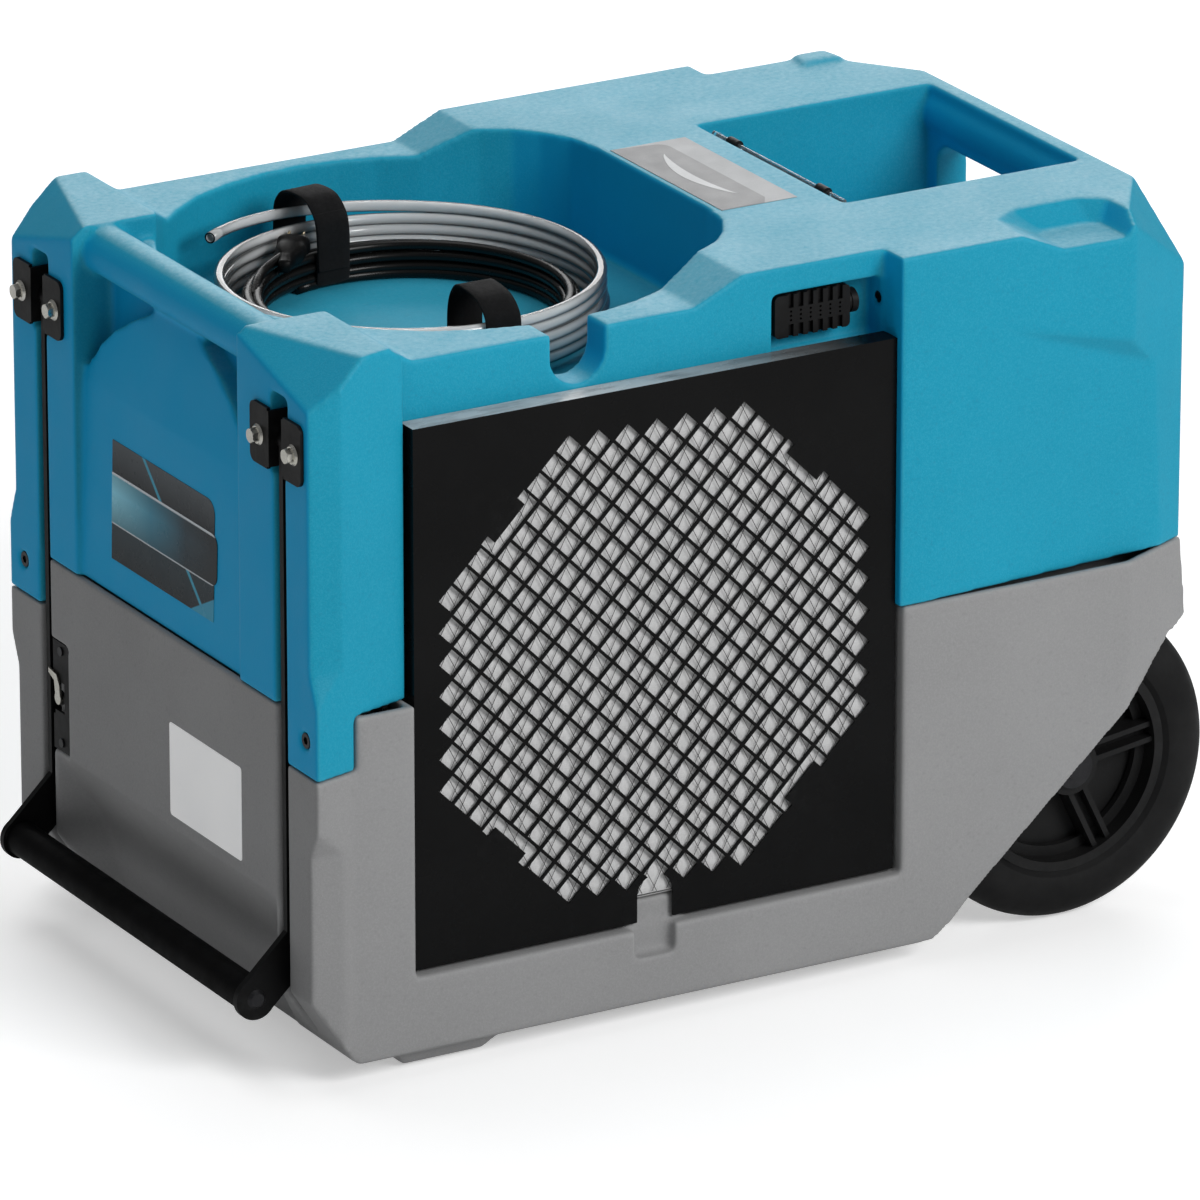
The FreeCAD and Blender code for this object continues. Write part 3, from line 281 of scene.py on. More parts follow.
def rubber_material(name, base, rough, dust, grain, bump, specular):
    m = Material(name)
    broad = m.noise(scale=14, detail=6, rough=0.7)
    fine = m.noise(scale=grain, detail=3)
    colour = m.tone(broad, base, shade(base, add=dust), span=(0.42, 0.75))
    colour = m.tone(fine, colour, shade(base, add=dust * 0.7), span=(0.5, 0.8), to=(0, 0.4))
    m.set("Base Color", colour)
    m.set("Specular IOR Level", specular)
    m.roughness(to=rough, scale=60)
    m.bump(m.noise(scale=120, detail=3), strength=bump * 0.4, distance=0.0008)
    m.bump(fine, strength=bump, distance=0.0003)


def clear_material(name, tint, rough, ior, cloud, streak, transmission, scale, painted_rim_shade):
    """Clear plastic with cloudy patches; painted_rim_shade is painted shade that darkens it at
    grazing angles.
    """
    m = Material(name)
    patches = m.noise(scale=scale, stretch=streak)
    colour = m.tone(patches, tint, shade(tint, 1.0 - cloud), span=(0.3, 0.75))
    # painted shade: darker where the surface turns away at grazing angles
    if painted_rim_shade:
        weight = m.node("LayerWeight")
        weight.inputs["Blend"].default_value = 0.5
        colour = m.tone(weight.outputs["Facing"], colour, shade(tint, 0.02),
                        span=(0.34, 0.66), to=(0.0, painted_rim_shade))
    m.set("Base Color", colour)
    m.set("Transmission Weight", m.remap(patches, span=(0.35, 0.8),
                                         to=(transmission, transmission - cloud * 0.8)))
    m.roughness(to=(rough, rough + 0.10), scale=200, detail=3)
    m.set("IOR", ior)
    ripples = m.noise(scale=90, detail=3, rough=0.5, stretch=streak)
    m.bump(ripples, strength=0.12, distance=0.0006)


def weave_material(name, base, pitch):
    """Woven webbing: two sets of threads laid by UV in metres, fuzz on top."""
    m = Material(name)
    uv = m.split(m.node("UVMap").outputs[0])
    turns = 2 * math.pi / pitch
    warp = m.calc("SINE", m.calc("MULTIPLY", uv["X"], turns))
    weft = m.calc("SINE", m.calc("MULTIPLY", uv["Y"], turns * 0.6))
    threads = m.remap(m.calc("MULTIPLY", warp, weft), span=(-1, 1))
    fuzz = m.calc("MULTIPLY", m.noise(scale=2600, detail=3, rough=0.7), 0.6)
    height = m.calc("ADD", threads, fuzz)
    # painted shade and highlight: the same dye goes darker in the valleys between threads and
    # lighter on their crests
    colour = m.tone(height, shade(base, 0.5), shade(base, 1.9), span=(0.2, 1.4))
    dust = m.noise(scale=45, detail=5)
    colour = m.tone(dust, colour, shade(base, add=0.006), span=(0.5, 0.75), to=(0, 0.5))
    m.set("Base Color", colour)
    m.roughness(to=(0.75, 0.95), scale=300, detail=3)
    m.set("Sheen Weight", 0.06)
    m.set("Sheen Roughness", 0.4)
    m.set("Specular IOR Level", 0.1)
    m.bump(height, strength=0.5, distance=0.0005)


def fibre_material(name, base):
    """Non-woven filter media: crossing fibres and faint shadows."""
    m = Material(name)
    fibres = m.calc("MAXIMUM", *[m.noise(scale=260, detail=5, rough=0.8, stretch=stretch)
                                 for stretch in ((1, 1, 6), (6, 1, 1))])
    colour = m.tone(fibres, shade(base, 0.80), shade(base, 1.08), span=(0.42, 0.72))
    shadows = m.noise(scale=40)
    colour = m.tone(shadows, colour, shade(base, 0.72), span=(0.45, 0.75), to=(0, 0.35))
    m.set("Base Color", colour)
    m.set("Roughness", m.remap(fibres, to=(0.8, 0.98)))
    m.set("Sheen Weight", 0.2)
    m.bump(fibres, strength=0.5, distance=0.0008)


# name, base, roughness range, grain scale, bump, coat, dust, metallic, specular, lit lip
PAINTS = [
    ("panel_powder", (0.0035, 0.0035, 0.0036), (0.22, 0.31), 1600, 0.08, 0, 0.002, 0, 0.085, True),
    ("bracket_powder", (0.005, 0.005, 0.0052), (0.36, 0.50), 1300, 0.22, 0, 0.004, 0, 0.12),
    ("arm_powder", (0.004, 0.004, 0.0042), (0.34, 0.46), 1300, 0.20, 0, 0.003, 0, 0.10),
    ("black_oxide", (0.022, 0.022, 0.024), (0.28, 0.42), 900, 0.15, 0, 0.02, 0.7, 0.22),
    ("rim_nylon", (0.008, 0.008, 0.0082), (0.36, 0.52), 700, 0.25, 0, 0.006, 0, 0.16),
    ("natural_nylon", (0.52, 0.50, 0.44), (0.4, 0.55), 500, 0.2, 0, 0.03, 0, 0.22),
    ("dark_wire", (0.055, 0.055, 0.055), (0.45, 0.6), 900, 0.1, 0, 0.02, 0, 0.22),
    ("membrane_fascia", (0.015, 0.022, 0.028), (0.22, 0.34), 1200, 0.12, 0.4, 0.008, 0, 0.22),
    ("key_red", (0.40, 0.028, 0.02), (0.28, 0.4), 900, 0.15, 0.2, 0.01, 0, 0.22),
    ("key_grey", (0.30, 0.32, 0.33), (0.3, 0.42), 900, 0.15, 0.2, 0.02, 0, 0.22),
    ("sensor_abs", (0.005, 0.005, 0.0052), (0.40, 0.55), 900, 0.3, 0, 0.004, 0, 0.15),
    ("formed_tray", (0.42, 0.42, 0.41), (0.4, 0.55), 500, 0.25, 0, 0.04, 0, 0.22),
    ("pump_housing", (0.045, 0.045, 0.05), (0.4, 0.55), 700, 0.25, 0, 0.02, 0, 0.22),
    ("compressor_enamel", (0.013, 0.013, 0.015), (0.22, 0.35), 500, 0.15, 0.4, 0.01, 0, 0.22),
]
# name, base, stain (None for a darker base), roughness range, stretch, grain scale, bump
METALS = [
    ("zinc_plate", (0.58, 0.57, 0.53), (0.46, 0.45, 0.38), (0.20, 0.38), (1, 1, 1), 700, 0.15),
    ("plug_pins", (0.62, 0.50, 0.30), None, (0.2, 0.35), (1, 1, 1), 800, 0.1),
    ("galvanised_sheet", (0.55, 0.56, 0.57), (0.42, 0.43, 0.45), (0.32, 0.5), (1, 1, 1), 60, 0.15),
    ("aluminium_fins", (0.74, 0.75, 0.76), None, (0.25, 0.4), (8, 1, 1), 300, 0.3),
    ("copper_tube", (0.62, 0.28, 0.14), (0.42, 0.18, 0.09), (0.25, 0.42), (1, 1, 1), 400, 0.12),
    ("capacitor_can", (0.62, 0.63, 0.64), None, (0.2, 0.35), (1, 1, 6), 400, 0.12),
]
# name, base, roughness range, dust, grain scale, bump, specular
RUBBERS = [
    ("grip_sleeve", (0.0022, 0.0022, 0.0024), (0.46, 0.62), 0.002, 1500, 0.2, 0.05),
    ("tyre_rubber", (0.0055, 0.0055, 0.0057), (0.50, 0.66), 0.007, 900, 0.22, 0.16),
    ("foot_rubber", (0.02, 0.02, 0.02), (0.6, 0.8), 0.03, 1100, 0.25, 0.22),
    ("cord_jacket", (0.0035, 0.0034, 0.0033), (0.24, 0.34), 0.002, 1500, 0.12, 0.22),
    ("plug_moulding", (0.0030, 0.0030, 0.0031), (0.36, 0.48), 0.002, 900, 0.3, 0.10),
]
# name, tint, roughness, IOR, cloud, streak, transmission, cloud scale, painted rim shade
CLEARS = [
    ("clear_vinyl", (0.98, 0.995, 1.0), 0.02, 1.52, 0.06, (1, 1, 1), 0.54, 50, 0.94),
    ("lid_polycarbonate", (0.95, 0.98, 0.99), 0.02, 1.32, 0.16, (1, 12, 1), 0.985, 46, 0),
    ("display_tint", (0.05, 0.12, 0.14), 0.05, 1.5, 0.2, (1, 1, 1), 0.5, 50, 0),
]
# the pale top colour is a painted sheen, the end colour a painted shade and the hole a painted
# bore shadow
shell_material("rotomoulded_blue", base=(0.010, 0.315, 0.474), light=(0.060, 0.42, 0.58),
               dark=(0.004, 0.17, 0.30), top_sheen_colour=(0.66, 0.90, 0.93),
               end_shade_tint=(0.002, 0.375, 0.730), painted_bore_shadow=(place(530.5, 46, 296), 0.0056))
shell_material("rotomoulded_grey", base=(0.288, 0.288, 0.290), light=(0.40, 0.40, 0.40),
               dark=(0.17, 0.17, 0.172), top_sheen_colour=(0.45, 0.45, 0.45))
for build, rows in ((paint_material, PAINTS), (metal_material, METALS),
                    (rubber_material, RUBBERS), (clear_material, CLEARS)):
    for row in rows:
        build(*row)
weave_material("strap_webbing", base=(0.0065, 0.0065, 0.0068), pitch=0.0011)
fibre_material("filter_fibre", base=(0.70, 0.70, 0.70))

# material: the CAD pieces that keep their own mesh and wear it
CAD_PIECES = {
    "panel_powder": "intake_panel exhaust_grille",
    "bracket_powder": "near_handle_bracket far_handle_bracket latch_plate",
    "arm_powder": "near_handle_arm far_handle_arm",
    "zinc_plate": "bracket_bolts pivot_pins latch_hook",
    "grip_sleeve": "handle_grip",
    "black_oxide": "grip_screws latch_screws leg_screws axle axle_caps",
    "rim_nylon": "near_rim far_rim fan_shroud fan_impeller",
    "tyre_rubber": "near_tyre far_tyre",
    "natural_nylon": "wheel_bushes",
    "foot_rubber": "rubber_feet compressor_grommets",
    "membrane_fascia": "control_panel",
    "display_tint": "display_window",
    "key_red": "power_key",
    "key_grey": "up_key down_key mode_key pump_key",
    "lid_polycarbonate": "control_lid",
    "sensor_abs": "lid_hinges humidity_sensor sensor_gland",
    "galvanised_sheet": "base_pan fan_motor",
    "aluminium_fins": "evaporator_coil condenser_coil",
    "formed_tray": "drain_tray control_box",
    "pump_housing": "condensate_pump",
    "compressor_enamel": "compressor",
    "copper_tube": "refrigerant_lines filter_drier",
    "capacitor_can": "start_capacitor",
}
for material, pieces in CAD_PIECES.items():
    for piece in pieces.split():
        if piece in nodes:
            slots = nodes[piece].data.materials
            slots.clear()
            slots.append(MATERIALS[material])


# ---------------------------------------------------------------- mesh helpers
def add_object(name, data):
    made = bpy.data.objects.new(name, data)
    bpy.context.scene.collection.objects.link(made)
    return made


def add_piece(name, mesh, material, node=None, body="body", smooth=True):
    """Put a mesh in the scene as a product piece, in place of a CAD node if given."""
    piece = add_object(name, mesh)
    mesh.materials.clear()
    mesh.materials.append(MATERIALS[material])
    if smooth:
        for polygon in mesh.polygons:
            polygon.use_smooth = True
    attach(piece, body)
    if node:
        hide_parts(node)
    return piece


def to_mesh(bm, name):
    mesh = bpy.data.meshes.new(name)
    bmesh.ops.recalc_face_normals(bm, faces=bm.faces)
    bm.to_mesh(mesh)
    bm.free()
    return mesh


def bridge(bm, a, b):
    """Join two equal rings of vertices with quads."""
    for j in range(len(a)):
        i = (j + 1) % len(a)
        bm.faces.new((a[j], a[i], b[i], b[j]))


def loft(bm, rings, closed=False):
    """Skin a row of rings: a loop if closed, else a solid with both ends capped."""
    for a, b in zip(rings, rings[1:]):
        bridge(bm, a, b)
    if closed:
        bridge(bm, rings[-1], rings[0])
    else:
        bm.faces.new(list(reversed(rings[0])))
        bm.faces.new(rings[-1])


def tangent(points, k, closed):
    last = len(points) - 1
    if closed:
        return (points[0 if k == last else k + 1] - points[k - 1]).normalized()
    return (points[min(k + 1, last)] - points[max(k - 1, 0)]).normalized()


def sweep(bm, points, radius, segments, closed=False, bore=0.0):
    """A round rod along points, or an open hollow hose if it has a bore.

    radius is one number, or a list with one for each point.
    """
    radii = radius if isinstance(radius, list) else [radius] * len(points)
    start = (points[1] - points[0]).normalized()
    up = Vector((0, 0, 1)) if abs(start.z) < 0.9 else Vector((1, 0, 0))
    normal = (up - start * up.dot(start)).normalized()
    outer, inner = [], []
    for k, point in enumerate(points):
        ahead = tangent(points, k, closed)
        normal = (normal - ahead * normal.dot(ahead)).normalized()
        binormal = ahead.cross(normal)
        for rings, r in ((outer, radii[k]), (inner, bore)):
            if r:
                turns = [2 * math.pi * j / segments for j in range(segments)]
                rings.append([bm.verts.new(point + normal * (r * math.cos(turn))
                                           + binormal * (r * math.sin(turn))) for turn in turns])
    if not bore:
        loft(bm, outer, closed)
        return
    for a, b, c, d in zip(outer, outer[1:], inner, inner[1:]):
        bridge(bm, a, b)
        bridge(bm, d, c)
    bridge(bm, inner[0], outer[0])
    bridge(bm, outer[-1], inner[-1])


def spline(control, steps, closed=False):
    """Catmull-Rom curve through control points, with steps points to each span."""
    points = []
    count = len(control)
    for s in range(count if closed else count - 1):
        p0 = control[s - 1] if closed or s > 0 else control[0] * 2 - control[1]
        p1 = control[s]
        p2 = control[(s + 1) % count]
        if closed or s + 2 < count:
            p3 = control[(s + 2) % count]
        else:
            p3 = control[-1] * 2 - control[-2]
        for k in range(steps):
            t = k / steps
            points.append(0.5 * ((2 * p1) + (p2 - p0) * t
                                 + (2 * p0 - 5 * p1 + 4 * p2 - p3) * t * t
                                 + (3 * p1 - p0 - 3 * p2 + p3) * t ** 3))
    if not closed:
        points.append(control[-1].copy())
    return points


# ---------------------------------------------------------------- shells
VOXEL = 0.0026
KEPT_FACES = 0.26
FIRST_SMOOTHING = 4  # passes


def shell_skin(node, material):
    """The CAD form of a shell with every edge rounded off."""
    mesh = nodes[node].data.copy()
    source = add_object("tmp_" + node, mesh)
    bm = bmesh.new()
    bm.from_mesh(mesh)
    bmesh.ops.remove_doubles(bm, verts=bm.verts, dist=1e-6)
    bm.to_mesh(mesh)
    bm.free()
    for kind, settings in (
            ("REMESH", {"mode": "VOXEL", "voxel_size": VOXEL}),
            ("SMOOTH", {"factor": 0.5, "iterations": FIRST_SMOOTHING}),
            ("DECIMATE", {"ratio": KEPT_FACES}),
            ("SMOOTH", {"factor": 0.4, "iterations": 1})):
        modifier = source.modifiers.new(kind.lower(), kind)
        for key, value in settings.items():
            setattr(modifier, key, value)
    bpy.context.view_layer.update()
    graph = bpy.context.evaluated_depsgraph_get()
    skin = bpy.data.meshes.new_from_object(
        source.evaluated_get(graph), preserve_all_data_layers=False, depsgraph=graph)
    skin.name = node + "_skin"
    bpy.data.objects.remove(source)
    add_piece(node + "_skin", skin, material, node)


shell_skin("upper_shell", "rotomoulded_blue")
shell_skin("lower_shell", "rotomoulded_grey")


# ---------------------------------------------------------------- filter
def filter_pad(cells=150, relief=0.0004, face_inset=0.0012, rim_inset=0.0022):
    """Media block with an uneven face towards low y."""
    low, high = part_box("air_filter")
    bm = bmesh.new()
    front, back = {}, {}
    for i in range(cells + 1):
        for j in range(cells + 1):
            x = low.x + (high.x - low.x) * i / cells
            z = low.z + (high.z - low.z) * j / cells
            y = low.y + rim_inset
            if min(i, cells - i, j, cells - j):
                fine = noise.noise(Vector((x * 160, 0, z * 160))) * relief
                broad = noise.noise(Vector((x * 30, 3, z * 30))) * relief
                y = low.y + face_inset + (fine + broad)
            front[i, j] = bm.verts.new((x, y, z))
    for (i, j), vert in front.items():
        if i in (0, cells) or j in (0, cells):
            back[i, j] = bm.verts.new((vert.co.x, high.y, vert.co.z))
    for i in range(cells):
        for j in range(cells):
            bm.faces.new((front[i, j], front[i + 1, j], front[i + 1, j + 1], front[i, j + 1]))
    rim = [(i, 0) for i in range(cells)] + [(cells, j) for j in range(cells)]
    rim += [(i, cells) for i in range(cells, 0, -1)] + [(0, j) for j in range(cells, 0, -1)]
    for a, b in zip(rim, rim[1:] + rim[:1]):
        bm.faces.new((front[b], front[a], back[a], back[b]))
    bm.faces.new([back[k] for k in rim])
    add_piece("filter_pad", to_mesh(bm, "filter_pad"), "filter_fibre",
              "air_filter", body="filter_door")


def filter_wire(slope=1.93, pitch=0.01337, wire_inset=0.004, frame_inset=0.003,
                wire_radius=0.00030, frame_radius=0.0005, layer_offset=0.00022):
    """Diamond mesh of two crossing sets of wires in a wire frame, facing along y."""
    low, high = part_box("filter_screen")
    y = (low.y + high.y) / 2
    x0, x1 = low.x + wire_inset, high.x - wire_inset
    z0, z1 = low.z + wire_inset, high.z - wire_inset
    run = (z1 - z0) / slope
    bm = bmesh.new()
    for lean in (1, -1):
        for k in range(int(((x1 - x0) + run) / pitch) + 2):
            foot = (x0 - (run if lean > 0 else 0)) + k * pitch
            reach = (foot + lean * run) - foot
            # part of the wire that lies between the two sides
            enter, leave = sorted(((x0 - foot) / reach, (x1 - foot) / reach))
            enter, leave = max(0.0, enter), min(1.0, leave)
            if leave - enter < 0.02:
                continue
            steps = max(2, int(10 * (leave - enter)) + 1)
            line = []
            for q in range(steps + 1):
                t = enter + (leave - enter) * q / steps
                line.append(Vector((foot + reach * t, y + lean * layer_offset,
                                    z0 + (z1 - z0) * t)))
            sweep(bm, line, wire_radius, 5)
    x0, x1 = low.x + frame_inset, high.x - frame_inset
    z0, z1 = low.z + frame_inset, high.z - frame_inset
    corners = [Vector((x, y, z)) for x, z in ((x0, z0), (x1, z0), (x1, z1), (x0, z1))]
    edge = [a.lerp(b, q / 12) for a, b in zip(corners, corners[1:] + corners[:1])
            for q in range(12)]
    sweep(bm, edge, frame_radius, 8, closed=True)
    add_piece("filter_wire", to_mesh(bm, "filter_wire"), "dark_wire",
              "filter_screen", body="filter_door")


filter_pad()
filter_wire()

# ---------------------------------------------------------------- hose and cord coils
COIL_CENTRE = place(245, 288, 0)


def on_coil(radius, angle, z):
    """Point at a radius and angle in degrees about the coils' upright axis."""
    turn = math.radians(angle)
    return Vector((COIL_CENTRE.x + radius * math.cos(turn),
                   COIL_CENTRE.y + radius * math.sin(turn), z))


HOSE_RADIUS = 0.00472
HOSE_BORE = 0.0034
HOSE_COIL_RADIUS = 0.1520
HOSE_PITCH = 0.0091
HOSE_TURNS = 5
HOSE_END_ANGLE = 128.0


def drain_hose():
    """Hollow hose wound upwards; its top end strays outwards and its foot inwards."""
    travel = 360 * HOSE_TURNS + 30
    steps = int(travel / 5)
    points = []
    for k in range(steps + 1):
        angle = HOSE_END_ANGLE - travel + travel * k / steps
        left = HOSE_END_ANGLE - angle
        z = COIL_FLOOR + HOSE_RADIUS + (travel - left) / 360.0 * HOSE_PITCH
        waver = 0.0011 * math.sin(angle * 0.021) - 0.0006 * math.cos(angle * 0.043)
        r = HOSE_COIL_RADIUS + waver
        if left < 75:
            q = 1 - left / 75
            r += 0.02352 * q * q * (3 - 2 * q)
            z += 0.0006 * q
        foot = left - 360 * HOSE_TURNS + 40
        if foot > 0:
            r -= 0.0100 * min(1.0, foot / 70) ** 2
        points.append(on_coil(r, angle, z))
    bm = bmesh.new()
    sweep(bm, points, HOSE_RADIUS, 16, bore=HOSE_BORE)
    hose = add_piece("drain_hose_coil", to_mesh(bm, "drain_hose_coil"), "clear_vinyl",
                     "drain_hose")
    # the cut top end reads dark round its wall
    hose.data.materials.append(MATERIALS["cord_jacket"])
    ahead = (points[-1] - points[-3]).normalized()
    for face in hose.data.polygons:
        if (face.center - points[-1]).length < 0.006 and abs(face.normal.dot(ahead)) > 0.9:
            face.material_index = 1
            face.use_smooth = False


CORD_RADIUS = 0.0043
CORD_PITCH = 0.0089
CORD_TURNS = 3  # in each of the two columns
CORD_CLIMB = 2.9  # pitches risen before the cord crosses to the inner column
CORD_OUTER = 0.1318
CORD_INNER = 0.1226
plug_low, plug_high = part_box("power_plug")
PLUG_CENTRE = (plug_low + plug_high) / 2


def power_cord():
    """Cord wound up an outer column and down an inner one, and a lead to the plug."""
    floor_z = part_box("power_cord")[0].z
    points = []
    for k in range((360 * CORD_TURNS * 2 + 150) // 6 + 1):
        angle = -40 + k * 6
        turn = k * 6 / 360.0
        climb = max(0.0, min(turn, CORD_CLIMB, CORD_TURNS + CORD_CLIMB - turn))
        q = min(1.0, max(0.0, (turn - CORD_CLIMB) / 0.25))
        waver = 0.0007 * math.sin(angle * 0.033) + 0.0005 * math.sin(angle * 0.011)
        r = CORD_OUTER * (1 - q) + CORD_INNER * q + waver
        points.append(on_coil(r, angle, floor_z + CORD_RADIUS + climb * CORD_PITCH))
    bm = bmesh.new()
    sweep(bm, points, CORD_RADIUS, 12)
    # angle and height of the lead as it lifts off the coil
    lead = [on_coil(0.126, angle, floor_z + 0.0285 + rise)
            for angle, rise in ((150, -0.004), (140, 0.001), (130, 0.004))]
    lead.append(PLUG_CENTRE + Vector((-0.008, -0.006, 0.001)))
    sweep(bm, spline(lead, 10), CORD_RADIUS, 12)
    add_piece("power_cord_coil", to_mesh(bm, "power_cord_coil"), "cord_jacket",
              "power_cord")


drain_hose()
power_cord()

# ---------------------------------------------------------------- plug
PLUG_AXIS = Vector((0.62, 0.78, 0.10)).normalized()
PLUG_SIDE = PLUG_AXIS.cross(Vector((0, 0, 1))).normalized()
PLUG_UP = PLUG_SIDE.cross(PLUG_AXIS).normalized()
PIN_ROOT = 0.0155
# distance along the axis, half width, half height: ribbed strain relief, then body
PLUG_SECTIONS = [
    (-0.030, 0.0050, 0.0050), (-0.026, 0.0056, 0.0056), (-0.025, 0.0048, 0.0048),
    (-0.022, 0.0060, 0.0058), (-0.021, 0.0052, 0.0050), (-0.018, 0.0066, 0.0062),
    (-0.017, 0.0056, 0.0054), (-0.013, 0.0075, 0.0068), (-0.008, 0.0112, 0.0080),
    (0.002, 0.0124, 0.0084), (0.010, 0.0118, 0.0080), (0.0125, 0.0136, 0.0092),
    (0.0150, 0.0136, 0.0092), (0.0158, 0.0120, 0.0080),
]


def on_plug(along, aside, above):
    return PLUG_CENTRE + PLUG_AXIS * along + PLUG_SIDE * aside + PLUG_UP * above


def squared(value, power=0.62):
    """Bend a sine or cosine so a circle becomes a rounded square."""
    return math.copysign(abs(value) ** power, value)


def plug_body():
    bm = bmesh.new()
    turns = [2 * math.pi * j / 20 for j in range(20)]
    loft(bm, [[bm.verts.new(on_plug(along, squared(math.cos(turn)) * half_width,
                                    squared(math.sin(turn)) * half_height)) for turn in turns]
              for along, half_width, half_height in PLUG_SECTIONS])
    add_piece("plug_body", to_mesh(bm, "plug_body"), "plug_moulding", "power_plug")


def plug_pins(spread=0.0058, blade_rise=0.002, half_width=0.0009, half_height=0.0031):
    """Two flat blades above one round pin."""
    bm = bmesh.new()
    for aside in (-spread, spread):
        loft(bm, [[bm.verts.new(on_plug(along, aside + p * half_width * scale,
                                        blade_rise + q * half_height * scale))
                   for p, q in ((-1, -1), (1, -1), (1, 1), (-1, 1))]
                  for along, scale in ((PIN_ROOT, 1.0), (0.030, 1.0), (0.0318, 0.6))])
    round_pin = [on_plug(PIN_ROOT + 0.0190 * t, 0, -0.0042) for t in (0, 0.25, 0.5, 0.75, 0.9, 1)]
    sweep(bm, round_pin, [0.0023] * 5 + [0.0016], 12)
    add_piece("plug_pins", to_mesh(bm, "plug_pins"), "plug_pins")


plug_body()
plug_pins()

# ---------------------------------------------------------------- straps
STRAP_WIDTH = 0.031
# half of the width, half of the thickness, as fractions round the band's section
BAND_SECTION = [
    (-1, -0.55), (-0.97, -1), (-0.5, -1), (0, -1), (0.5, -1), (0.97, -1), (1, -0.55),
    (1, 0.55), (0.97, 1), (0.5, 1), (0, 1), (-0.5, 1), (-0.97, 1), (-1, 0.55),
]


def ribbon(name, path, across, width, thickness, node=None, closed=True):
    """A flat webbing band along a path, with UVs in metres; across is its width direction."""
    bm = bmesh.new()
    uv_layer = bm.loops.layers.uv.new("UVMap")
    section = [(a * width / 2, b * thickness / 2) for a, b in BAND_SECTION]
    rings, travelled = [], [0.0]
    for k, point in enumerate(path):
        outward = tangent(path, k, closed).cross(across).normalized()
        if k:
            travelled.append(travelled[-1] + (point - path[k - 1]).length)
        rings.append([bm.verts.new(point + across * a + outward * b) for a, b in section])
    travelled.append(travelled[-1] + 0.002)  # closing span
    for k in range(len(path) if closed else len(path) - 1):
        ring, following = rings[k], rings[(k + 1) % len(path)]
        for j in range(len(section)):
            i = (j + 1) % len(section)
            face = bm.faces.new((ring[j], ring[i], following[i], following[j]))
            corners = ((j, k), (i, k), (i, k + 1), (j, k + 1))
            for loop, (a, b) in zip(face.loops, corners):
                loop[uv_layer].uv = (section[a][0], travelled[b])
    if not closed:
        bm.faces.new(rings[0])
        bm.faces.new(list(reversed(rings[-1])))
    add_piece(name, to_mesh(bm, name), "strap_webbing", node)


def strap(node, angle, inner, outer, apex):
    """A band standing as a loose loop round the coils; inner, outer and apex are radii."""
    turn = math.radians(angle)
    radial = Vector((math.cos(turn), math.sin(turn), 0))
    across = Vector((-math.sin(turn), math.cos(turn), 0))
    base = Vector((COIL_CENTRE.x, COIL_CENTRE.y, COIL_FLOOR - 0.0004))
    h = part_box(node)[1].z - base.z
    w = outer - inner

    def curve(stations, steps, closed):
        """Spline through (radius, height) stations in the strap's upright plane."""
        control = [base + radial * r + Vector((0, 0, z)) for r, z in stations]
        return spline(control, steps, closed)

    loop = curve([
        (inner + w * 0.5, 0.0011), (inner + 0.010, 0.0011), (inner + 0.0020, 0.0055),
        (inner + 0.0010, h * 0.30), (inner + 0.0010, h * 0.58), (inner + w * 0.07, h * 0.80),
        (inner + (apex - inner) * 0.52, h * 0.955), (apex, h - 0.0012),
        (apex + (outer - apex) * 0.55, h * 0.945), (outer - w * 0.06, h * 0.80),
        (outer - 0.0012, h * 0.60), (outer - 0.0016, h * 0.32),
        (outer - w * 0.05, h * 0.10), (outer - w * 0.18, 0.0011),
    ], 9, closed=True)
    ribbon(node + "_loop", loop, across, STRAP_WIDTH, 0.0019, node)
    # lapped end over the inner leg, a little proud and off line
    lap = inner - 0.0002
    tail = curve([
        (lap + w * 0.10, h * 0.845), (lap + 0.0016, h * 0.74), (lap - 0.0003, h * 0.56),
        (lap - 0.0006, h * 0.36), (lap - 0.0016, h * 0.22),
    ], 8, closed=False)
    ribbon(node + "_loop_tail", [point + across * 0.0008 for point in tail], across,
           STRAP_WIDTH * 0.94, 0.0015, closed=False)


strap("hose_strap", angle=94.0, inner=0.1150, outer=0.1825, apex=0.1490)
strap("cord_strap", angle=-92.0, inner=0.0910, outer=0.1600, apex=0.1180)


# ---------------------------------------------------------------- labels, in datum mm
def plate(name, face, back, material, node):
    """A thin plate between two matching outlines."""
    bm = bmesh.new()
    a = [bm.verts.new(point) for point in face]
    b = [bm.verts.new(point) for point in back]
    bm.faces.new(a)
    bm.faces.new(list(reversed(b)))
    bridge(bm, b, a)
    add_piece(name, to_mesh(bm, name), material, node, smooth=False)


def end_film(name, outline, face_x, thickness, material, node=None):
    """A film on the low-x end face; outline in (y, z), face_x gives the face's x at z."""
    plate(name, [place(face_x(z) - thickness, y, z) for y, z in outline],
          [place(face_x(z) - 0.04, y, z) for y, z in outline], material, node)


def top_film(name, outline, bottom, top, material, node=None):
    """A film on the top; outline in (x, y)."""
    plate(name, [place(x, y, top) for x, y in outline],
          [place(x, y, bottom) for x, y in outline], material, node)


def arc(centre, radius, start):
    """Seven points of a quarter circle, from a start angle in degrees."""
    turns = [math.radians(start + 15 * q) for q in range(7)]
    return [(centre[0] + radius * math.cos(turn), centre[1] + radius * math.sin(turn))
            for turn in turns]


def rounded(y0, y1, z0, z1, radii):
    """Rectangle outline; radii run from the high-y, high-z corner towards low y."""
    corners = ((y1, z1, 1, 1), (y0, z1, -1, 1), (y0, z0, -1, -1), (y1, z0, 1, -1))
    points = []
    for k, ((y, z, side_y, side_z), r) in enumerate(zip(corners, radii)):
        points += arc((y - side_y * r, z - side_z * r), r, 90 * k)
    return points


def sloping_face_x(z):
    return 4.74 + (z - 76.0) * 0.024


